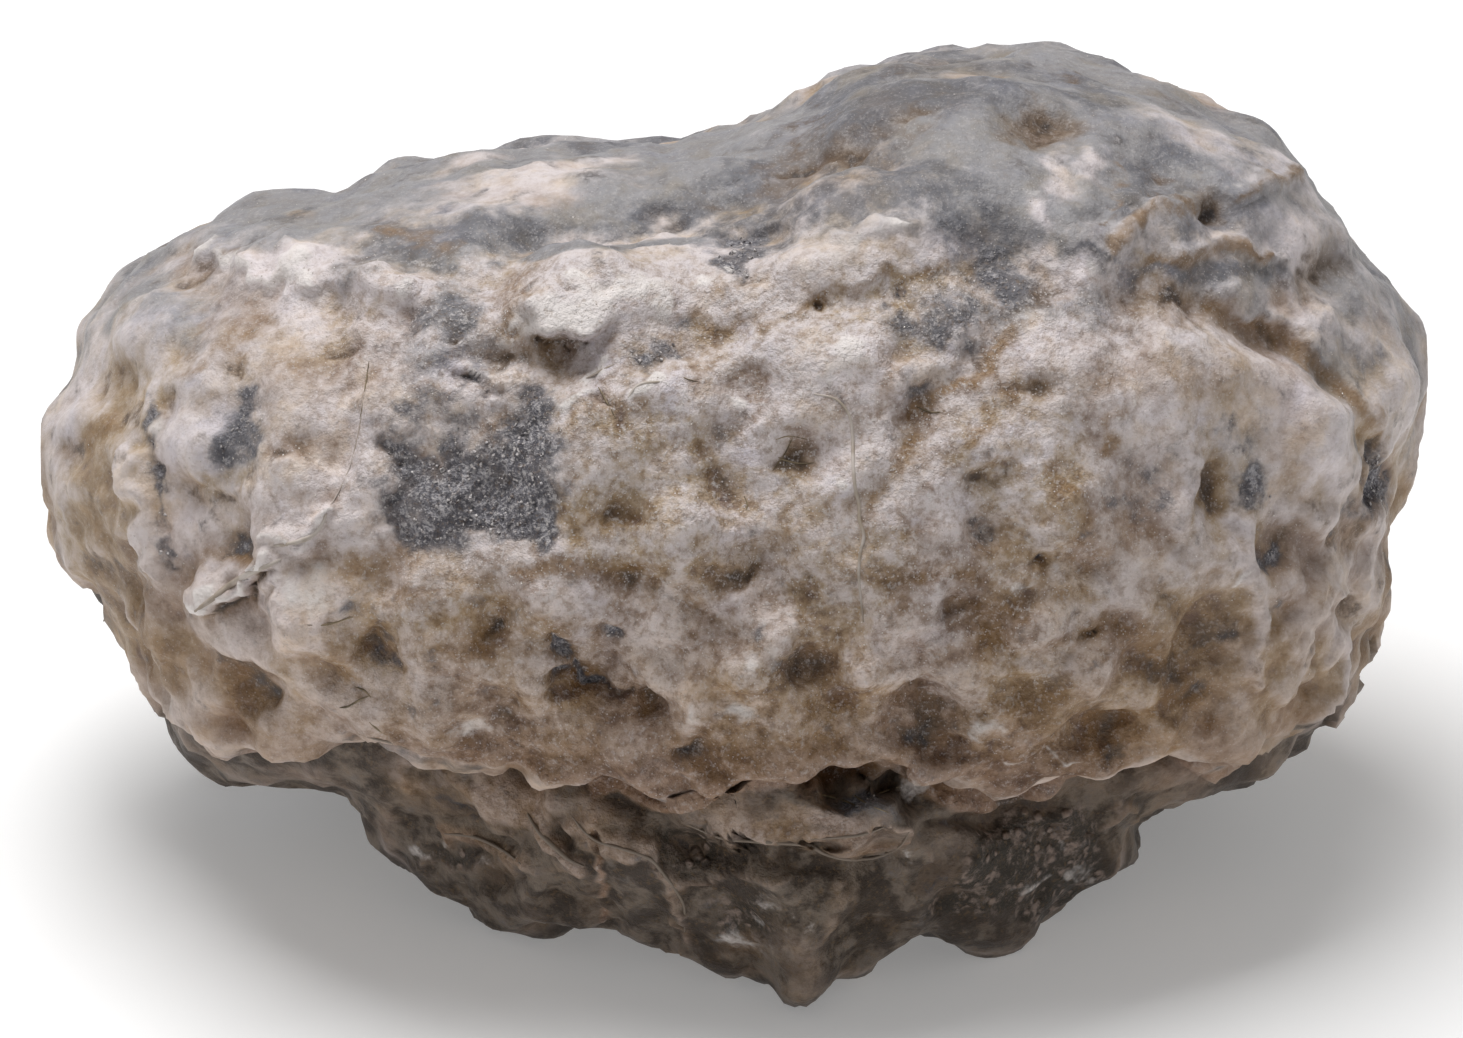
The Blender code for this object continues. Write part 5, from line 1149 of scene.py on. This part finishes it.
# %% Dark cup and crumbs
cup_mottle = total(edge_noise, centred(mottle_noise, 1.0))
cup_colour = blend(tree, ramp(tree, cup_mottle, 0.4, 0.66), CUP_DARK, CUP_GREY)
# Painted shade: the cup's near black colour is partly its own and partly the shade under the crown.
lay(ramp(tree, mask("cup"), 0, 1, 0, 0.92), cup_colour)
granules = dots_node(tree, 0.34, 0.55, 0.3)
crumb_mottle = total(
    noise_node(tree, 0.5, 4, 0.7), granules, centred(edge_noise, 0.6), centred(fine_noise, 0.4),
)
crumb_colour = blend(tree, ramp(tree, crumb_mottle, 0.46, 0.8), CRUMB_DARK, CRUMB_PALE)
lay(patchy("crumb", 1.2, 0.25, 0.7, 0.95), crumb_colour)

# %% Hollows and granular rock
# Painted shade: the two hollow colours, partly dark rock and partly the shade in the pits.
lay(patchy("dark", 2.2, 0.3, 0.85, 0.85), HOLLOW_BROWN)
lay(patchy("dark", 2.2, 0.65, 1.15, 0.9), HOLLOW_DARK)
rock_speckle = total(
    fine_noise, centred(grain_noise, 0.9), centred(edge_noise, 0.9), centred(mottle_noise, 0.4),
)
rock_colour = blend(tree, ramp(tree, rock_speckle, 0.36, 0.84), ROCK_DARK, ROCK_PALE)
lay(patchy("rock", 2.0, 0.1, 0.6, 0.6), FILM_SLATE)
rock_share = patchy("rock", 2.2, 0.35, 0.85, 0.95)
lay(rock_share, rock_colour)

# %% [markdown]
# ### Calcite, frost and pores
# Clean calcite comes last, and with it a frost of tiny pale crystals and a sprinkle of brown pores,
# both finer than the mesh. The frost leaves out the cup and thins low on the crown. The same noises
# drive the bump, so every speck that we see in colour also catches the light. Rock is rougher than
# film, and crumbs stand out of the cup.

# %% Calcite, frost and pores
lay(patchy("white", 1.8, 0.3, 1.0, 0.85), CALCITE)
frost_patches = ramp(tree, total(fine_noise, centred(grain_noise, 0.9)), 0.5, 0.8, 0, 0.6)
frost = math_node(tree, "MAXIMUM", frost_patches, dots_node(tree, 0.12, 0.28, 0.9))
frostless = total(mask("cup"), mask("low", 0.5))
frost_left = math_node(tree, "MAXIMUM", math_node(tree, "SUBTRACT", 1.0, frostless), 0.0)
lay(product(frost, speck_strength, frost_left), FILM_FROST)
pores = ramp(tree, total(fine_noise, centred(grain_noise, -0.9)), 0.46, 0.22, 0, 0.35)
lay(product(pores, speck_strength), FILM_BROWN)
tree.links.new(surface, shader.inputs["Base Color"])

# %% Gloss and bump
BUMP_HEIGHT, BUMP_STRENGTH = 0.16, 0.8
tree.links.new(ramp(tree, rock_share, 0, 1, 0.5, 0.75), shader.inputs["Roughness"])
shader.inputs["Specular IOR Level"].default_value = 0.35
film_bump = product(total(fine_noise, product(grain_noise, 0.4)), speck_strength, 0.8)
height = total(
    edge_noise, film_bump, product(grain_noise, rock_share), product(granules, mask("crumb", 4.0)),
)
bump = tree.nodes.new("ShaderNodeBump")
bump.inputs["Strength"].default_value = BUMP_STRENGTH
bump.inputs["Distance"].default_value = BUMP_HEIGHT * MM
tree.links.new(height, bump.inputs["Height"])
tree.links.new(bump.outputs["Normal"], shader.inputs["Normal"])
print("The stone's finish has", len(tree.nodes), "nodes")

# %% [markdown]
# The skin and its finish now make one piece. It stands for the plain solid, which is hidden, and
# rides on the stone's only body. Smooth shading hides the cells.

# %% The stone takes its place
stone_mesh.materials.append(stone_material)
stone_mesh.shade_smooth()
stone = new_object("stone", stone_mesh)
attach(stone, "root")
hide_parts("calyx")
print("The stone's mesh has", len(stone_mesh.polygons), "faces")

# %% [markdown]
# ## Loose grains
# Two kinds of grain sit on the stone. Coarse grit fills the patches of grey rock, and fine clean
# crystals sparkle all over the film. Bump alone would give them no outline and no facets to catch the
# light, so they are small solids. Both are scattered by one Geometry Nodes tree, which reads how many
# grains a place should have from a mask, drops a small rough crystal on each point, turns and sizes
# it at random, and then makes the copies real, so that they survive an export.

# %% How a node tree starts and ends
def start_tree(name, inputs):
    """A Geometry Nodes tree with these named inputs, and its nodes for what comes in and goes out."""
    tree = bpy.data.node_groups.new(name, "GeometryNodeTree")
    sockets = [("Geometry", "INPUT", "Geometry")]
    sockets += [(label, "INPUT", kind) for label, kind in inputs.items()]
    sockets += [("Geometry", "OUTPUT", "Geometry")]
    for label, way, kind in sockets:
        tree.interface.new_socket(name=label, in_out=way, socket_type="NodeSocket" + kind)
    return tree, tree.nodes.new("NodeGroupInput"), tree.nodes.new("NodeGroupOutput")


def end_tree(tree, geometry, given, made):
    """Makes copies real, gives them the material and hands them out."""
    real = tree.nodes.new("GeometryNodeRealizeInstances")
    finish = tree.nodes.new("GeometryNodeSetMaterial")
    tree.links.new(geometry, real.inputs["Geometry"])
    tree.links.new(real.outputs["Geometry"], finish.inputs["Geometry"])
    tree.links.new(given.outputs["Material"], finish.inputs["Material"])
    tree.links.new(finish.outputs["Geometry"], made.inputs["Geometry"])


# %% A tree that scatters grains
TURNS = ((0, 0, 0), (math.tau,) * 3)
SIZES = ((0.5, 0.4, 0.3), (1.5, 1.1, 0.9))


def scatter_tree():
    """Scatters crystals over a surface, as thickly as a mask says."""
    tree, given, made = start_tree("scatter_grains", {
        "Mask": "String", "Grains per mm2": "Float", "Grain Size": "Float", "Seed": "Int",
        "Material": "Material",
    })
    add, link = tree.nodes.new, tree.links.new
    mask_values = add("GeometryNodeInputNamedAttribute")
    link(given.outputs["Mask"], mask_values.inputs["Name"])
    thickness = math_node(
        tree, "MULTIPLY", mask_values.outputs["Attribute"], given.outputs["Grains per mm2"]
    )
    drop = add("GeometryNodeDistributePointsOnFaces")
    link(given.outputs["Geometry"], drop.inputs["Mesh"])
    link(math_node(tree, "MULTIPLY", thickness, 1 / MM**2), drop.inputs["Density"])
    link(given.outputs["Seed"], drop.inputs["Seed"])

    crystal = add("GeometryNodeMeshCube")
    link(math_node(tree, "MULTIPLY", given.outputs["Grain Size"], MM), crystal.inputs["Size"])
    turn, size = add("FunctionNodeRandomValue"), add("FunctionNodeRandomValue")
    for node, (least, most) in ((turn, TURNS), (size, SIZES)):
        node.data_type = "FLOAT_VECTOR"
        node.inputs["Min"].default_value = least
        node.inputs["Max"].default_value = most
        link(given.outputs["Seed"], node.inputs["Seed"])
    settle = add("GeometryNodeInstanceOnPoints")
    link(drop.outputs["Points"], settle.inputs["Points"])
    link(crystal.outputs["Mesh"], settle.inputs["Instance"])
    link(turn.outputs["Value"], settle.inputs["Rotation"])
    link(size.outputs["Value"], settle.inputs["Scale"])
    end_tree(tree, settle.outputs["Instances"], given, made)
    return tree


grain_tree = scatter_tree()
print("The grain tree has", len(grain_tree.nodes), "nodes")

# %% [markdown]
# A modifier runs a tree over a mesh. Its inputs are set by the sockets' identifiers, its result is
# kept as a plain mesh, and the modifier goes away with the helper that carried it. Corners that would
# leave the solid's box are moved back onto it. Grains and threads have simple finishes of two colours.

# %% Growing a piece, and finishes of two colours
def keep_inside(mesh):
    """Moves any corner that lies outside the solid's box back onto it."""
    corners = np.zeros(len(mesh.vertices) * 3, np.float32)
    mesh.vertices.foreach_get("co", corners)
    inside = np.clip(corners.reshape(-1, 3), BOX_LOW * MM, BOX_HIGH * MM)
    mesh.vertices.foreach_set("co", inside.astype(np.float32).ravel())
    mesh.update()


def grown(name, source_mesh, tree, settings):
    """Makes a piece by running a node tree over a mesh, with its settings given by name."""
    helper = new_object(name, source_mesh)
    modifier = helper.modifiers.new(name, "NODES")
    modifier.node_group = tree
    for item in tree.interface.items_tree:
        if item.in_out == "INPUT" and item.name in settings:
            modifier[item.identifier] = settings[item.name]
    graph = bpy.context.evaluated_depsgraph_get()
    mesh = bpy.data.meshes.new_from_object(helper.evaluated_get(graph))
    bpy.data.objects.remove(helper)
    keep_inside(mesh)
    piece = new_object(name, mesh)
    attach(piece, "root")
    print(name, "has", len(mesh.polygons), "faces")


def two_tone(name, noise_size, detail, edges, first, second, roughness, low_down_and_shaded=None):
    """A finish that noise mixes from two colours, with a third, darker one for what lies low on the
    stone, which is partly painted shade.
    """
    material, tree, shader = new_material(name)
    shade = blend(tree, ramp(tree, noise_node(tree, noise_size, detail), *edges), first, second)
    if low_down_and_shaded:
        shade = blend(tree, mask_node(tree, "depth"), shade, low_down_and_shaded)
    tree.links.new(shade, shader.inputs["Base Color"])
    shader.inputs["Roughness"].default_value = roughness
    return material


# %% [markdown]
# The grit lies where the grey rock is. The sparkles lie in loose clusters on the open film, thickest
# on the bulge, and leave out the hollows, the brown places, the rock and the cup.

# %% Scatter the grains
grit_material = two_tone(
    "rock_grit", 0.1, 0, (0.3, 0.7), colour(96, 92, 94), colour(206, 200, 198), 0.45
)
sparkle_material = two_tone(
    "clean_crystal", 0.2, 0, (0.35, 0.65), colour(188, 178, 168), colour(232, 226, 220), 0.25
)
rock_mask = smooth_step(0.35, 0.7, rock)
clusters = smooth_step(-0.3, 0.5, lumps(skin, 1.6, 22))
sparkle_mask = (0.05 + on_bulge(15, 6, 9)) * (0.5 + clusters) * (1 - below_lip) * (1 - rock_mask)
sparkle_mask *= (1 - 0.7 * umber) * (1 - 0.8 * np.clip(dark + sunk, 0, 1))
sparkle_mask *= 1 - smooth_step(-1.5, -6, upward)
paint(stone_mesh, "grit", rock_mask)
paint(stone_mesh, "sparkle", sparkle_mask)
grown("grit", stone_mesh, grain_tree, {
    "Mask": "grit", "Grains per mm2": 9.0, "Grain Size": 0.09, "Seed": 4,
    "Material": grit_material,
})
grown("sparkles", stone_mesh, grain_tree, {
    "Mask": "sparkle", "Grains per mm2": 8.0, "Grain Size": 0.032, "Seed": 9,
    "Material": sparkle_material,
})

# %% [markdown]
# ## Folds and fibres
# Two kinds of thread lie on the stone. The film's torn edges have dried into thin raised folds, and a
# few dark fibres of root have stuck to it. Each is a line drawn on the show face. A separate curve for
# each would repeat the same settings many times, so one Geometry Nodes tree sweeps a small circle
# along all the lines at once, as thick at each point as the line says.

# %% A tree that draws threads
def thread_tree():
    """Turns chains of points into round threads, as thick at each point as its share says."""
    tree, given, made = start_tree("draw_threads", {
        "Thread Width": "Float", "Sides": "Int", "Material": "Material",
    })
    add, link = tree.nodes.new, tree.links.new
    chain, plump = add("GeometryNodeMeshToCurve"), add("GeometryNodeSetCurveRadius")
    link(given.outputs["Geometry"], chain.inputs["Mesh"])
    link(chain.outputs["Curve"], plump.inputs["Curve"])
    plump.inputs["Radius"].default_value = 1
    ring = add("GeometryNodeCurvePrimitiveCircle")
    link(given.outputs["Sides"], ring.inputs["Resolution"])
    ring.inputs["Radius"].default_value = 1
    share = add("GeometryNodeInputNamedAttribute")
    share.inputs["Name"].default_value = "share"
    half_width = math_node(tree, "MULTIPLY", given.outputs["Thread Width"], 0.5 * MM)
    sweep = add("GeometryNodeCurveToMesh")
    link(plump.outputs["Curve"], sweep.inputs["Curve"])
    link(ring.outputs["Curve"], sweep.inputs["Profile Curve"])
    link(math_node(tree, "MULTIPLY", share.outputs["Attribute"], half_width), sweep.inputs["Scale"])
    sweep.inputs["Fill Caps"].default_value = True
    soft = add("GeometryNodeSetShadeSmooth")
    link(sweep.outputs["Mesh"], soft.inputs["Geometry"])
    end_tree(tree, soft.outputs["Geometry"], given, made)
    return tree


threads = thread_tree()
print("The thread tree has", len(threads.nodes), "nodes")

# %% [markdown]
# Each line below is a list of points on the show face and a thickness, as a share of the full width.
# The folds follow torn edges, most of them on the cup and at its lip. The fibres are shorter and lie
# anywhere, singly or in small tangles.

# %% Lines of the folds and fibres
FOLDS = [
    ([(2.3, 3.6), (2.9, 3.5), (3.2, 3.2), (3.35, 2.9), (3.4, 2.3), (3.4, 1.6), (3.45, 0.9), (3.6, 0.4),
        (3.55, 0.0), (3.75, -0.4), (3.6, -0.9), (3.55, -1.5), (3.6, -2.0), (3.7, -2.9)], 0.9),
    ([(-1.5, -8.6), (-0.8, -8.9), (-0.3, -9.1), (0.5, -9.15), (1.2, -9.2), (2.2, -9.25), (2.5, -9.5),
        (3.2, -9.7), (4.0, -9.68), (4.6, -9.45), (4.9, -9.2), (5.0, -8.9)], 1.0),
    ([(2.2, -9.1), (3.0, -9.05), (3.6, -9.0), (4.2, -8.8), (4.6, -8.6)], 0.7),
    ([(-8.3, -9.0), (-7.5, -9.05), (-6.9, -9.3), (-6.4, -9.6), (-6.1, -9.85)], 0.9),
    ([(-5.9, -8.4), (-5.6, -8.9), (-5.2, -9.3), (-4.7, -9.75), (-4.3, -9.9)], 1.2),
    ([(-4.6, -8.5), (-4.3, -8.9), (-3.9, -9.2), (-3.3, -9.35), (-2.8, -9.5), (-2.3, -9.7),
        (-2.1, -10.0), (-1.7, -10.5), (-1.4, -11.0), (-1.4, -11.8)], 0.9),
    ([(-10.6, 3.0), (-10.75, 2.2), (-10.95, 1.5), (-11.2, 0.9), (-11.7, 0.1)], 0.3),
    ([(-13.1, -0.72), (-12.5, -0.65), (-12.0, -0.45), (-11.7, -0.1), (-11.6, 0.2)], 1.3),
    ([(-15.4, -2.6), (-14.9, -2.25), (-14.4, -1.85), (-13.8, -1.5), (-13.2, -1.25), (-12.9, -1.1)], 1.6),
    ([(-3.4, 4.45), (-3.8, 4.25), (-4.2, 4.05)], 0.6), ([(-3.0, 3.5), (-2.75, 3.9), (-2.1, 3.95)], 0.8),
    ([(-10.7, -6.1), (-10.2, -6.25), (-9.7, -6.35), (-9.3, -6.55)], 0.7),
]
FIBRES = [
    ([(-10.4, 4.55), (-10.5, 3.8), (-10.55, 3.4), (-10.65, 2.9)], 0.8),
    ([(-12.15, -2.98), (-11.8, -3.0), (-11.45, -2.95), (-11.2, -2.85), (-10.85, -2.75)], 1.0),
    ([(-11.25, -5.35), (-10.95, -5.35), (-10.8, -5.15), (-10.6, -5.1), (-10.4, -5.0)], 1.2),
    ([(-10.8, -4.75), (-10.5, -4.85), (-10.35, -5.05)], 1.0),
    ([(-3.85, 3.8), (-3.7, 3.55), (-3.5, 3.15), (-3.35, 2.9)], 1.2),
    ([(1.0, 2.05), (1.3, 1.75), (1.9, 1.6), (2.3, 1.65)], 0.9),
    ([(1.2, 2.3), (1.6, 2.45), (2.1, 2.3)], 0.8), ([(1.1, 1.4), (1.5, 1.95), (1.7, 2.4)], 0.7),
    ([(0.3, 0.7), (0.45, 0.4), (0.35, 0.3)], 0.8),
    ([(2.0, -7.7), (2.6, -7.85), (3.2, -8.0), (3.6, -8.2)], 1.2),
    ([(3.1, -7.6), (3.8, -8.1), (4.6, -8.4)], 0.9), ([(3.9, -7.9), (4.3, -7.75), (4.8, -7.6)], 0.9),
    ([(-10.4, -5.75), (-10.2, -5.95), (-9.95, -6.1)], 1.2),
    ([(5.2, 3.25), (5.6, 3.05), (6.0, 3.1)], 0.8), ([(-1.7, 4.2), (-1.3, 4.0), (-1.0, 3.95)], 0.6),
]
print("Lines:", len(FOLDS), "folds and", len(FIBRES), "fibres")

# %% [markdown]
# Rays from in front lay each line on the finished stone, so that it follows every knob, and rounding
# its corners keeps it from kinking. Both ends taper. The folds turn darker low on the stone, where
# the film is browner, and this darkening is partly painted shade.

# %% Lay the lines on the stone
LINE_STEP = 0.12
IN_FRONT = 40
graph = bpy.context.evaluated_depsgraph_get()
stone_tree = BVHTree.FromObject(stone, graph)


def laid(line):
    """A line of the show face, with its corners rounded, laid on the stone in millimetres."""
    corners = np.array(line)
    gone = np.concatenate([[0], np.cumsum(np.linalg.norm(np.diff(corners, axis=0), axis=1))])
    steps = np.linspace(0, gone[-1], max(6, round(gone[-1] / LINE_STEP)))
    followed = np.stack([np.interp(steps, gone, column) for column in corners.T], 1)
    spots = []
    for u, v in followed:
        start = FACE_MIDDLE + u * FACE_RIGHT + v * FACE_UP + IN_FRONT * FACE_OUT
        spot, _, _, _ = stone_tree.ray_cast(Vector(start * MM), Vector(-FACE_OUT))
        spots.append(spot)
    spots = np.array(spots) / MM
    for _ in range(3):
        spots[1:-1] = (spots[:-2] + 2 * spots[1:-1] + spots[2:]) / 4
    return spots


def chains(lines):
    """One mesh of edges for all the lines, with a share of the full thickness at each point."""
    points, edges, shares = [], [], []
    for line, thickness in lines:
        spots = laid(line)
        first = len(points)
        points += [tuple(spot * MM) for spot in spots]
        edges += [(first + k, first + k + 1) for k in range(len(spots) - 1)]
        along = np.linspace(0.04, 0.96, len(spots))
        shares += list(thickness * np.sqrt(np.sin(math.pi * along)))
    mesh = bpy.data.meshes.new("chains")
    mesh.from_pydata(points, edges, [])
    paint(mesh, "share", shares)
    paint(mesh, "depth", smooth_step(1, -8.5, on_face(np.array(points) / MM)[:, 1]))
    return mesh


# %% Folds and fibres
# Painted shade: the folds' third colour darkens them low on the stone, partly browner film and partly
# shade.
fold_material = two_tone(
    "dried_fold", 0.6, 3, (0.35, 0.65), colour(198, 188, 180), colour(168, 154, 138), 0.5,
    low_down_and_shaded=colour(128, 115, 102),
)
fibre_material = two_tone(
    "root_fibre", 0.5, 2, (0.35, 0.65), colour(86, 74, 52), colour(140, 124, 98), 0.6
)
grown("folds", chains(FOLDS), threads, {
    "Thread Width": 0.13, "Sides": 8, "Material": fold_material,
})
grown("fibres", chains(FIBRES), threads, {
    "Thread Width": 0.06, "Sides": 6, "Material": fibre_material,
})

# %% [markdown]
# ## Floor and light
# The stone lies on a plain white table under one broad soft lamp overhead, with the room's own light
# all round. The white room fills the shadows, and the lamp shapes the knobs.

# %% Floor
FLOOR_HALF = 3.0
FLOOR_FINISH = {
    "Base Color": (0.86, 0.86, 0.86, 1), "Emission Color": (1, 1, 1, 1), "Emission Strength": 0.2,
    "Roughness": 0.9, "Specular IOR Level": 0.1,
}
corners = [(x * FLOOR_HALF, y * FLOOR_HALF, 0) for x, y in ((-1, -1), (1, -1), (1, 1), (-1, 1))]
floor_mesh = bpy.data.meshes.new("floor")
floor_mesh.from_pydata(corners, [], [(0, 1, 2, 3)])
floor_material, _, floor_shader = new_material("white_table")
for socket_name, value in FLOOR_FINISH.items():
    floor_shader.inputs[socket_name].default_value = value
floor_mesh.materials.append(floor_material)
floor = new_object("floor", floor_mesh)
print("The floor is", 2 * FLOOR_HALF, "m wide")

# %% Light
ROOM_WHITE, ROOM_LIGHT = (1, 1, 1, 1), 0.25
LAMP_AT, LAMP_AIM = Vector((-40, 50, 260)), Vector((0, 0, 8))
LAMP_SIZE, LAMP_POWER = 170, 0.68

world = bpy.data.worlds.new("room_light")
world.use_nodes = True
background = world.node_tree.nodes["Background"]
background.inputs["Color"].default_value = ROOM_WHITE
background.inputs["Strength"].default_value = ROOM_LIGHT
bpy.context.scene.world = world

lamp_data = bpy.data.lights.new("overhead_lamp", "AREA")
lamp_data.size = LAMP_SIZE * MM
lamp_data.energy = LAMP_POWER
lamp = new_object("overhead_lamp", lamp_data)
lamp.location = LAMP_AT * MM
lamp.rotation_euler = (LAMP_AIM - LAMP_AT).to_track_quat("-Z", "Y").to_euler()
bpy.context.scene.view_settings.view_transform = "Standard"
print("The lamp hangs", round(LAMP_AT.z), "mm above the floor")
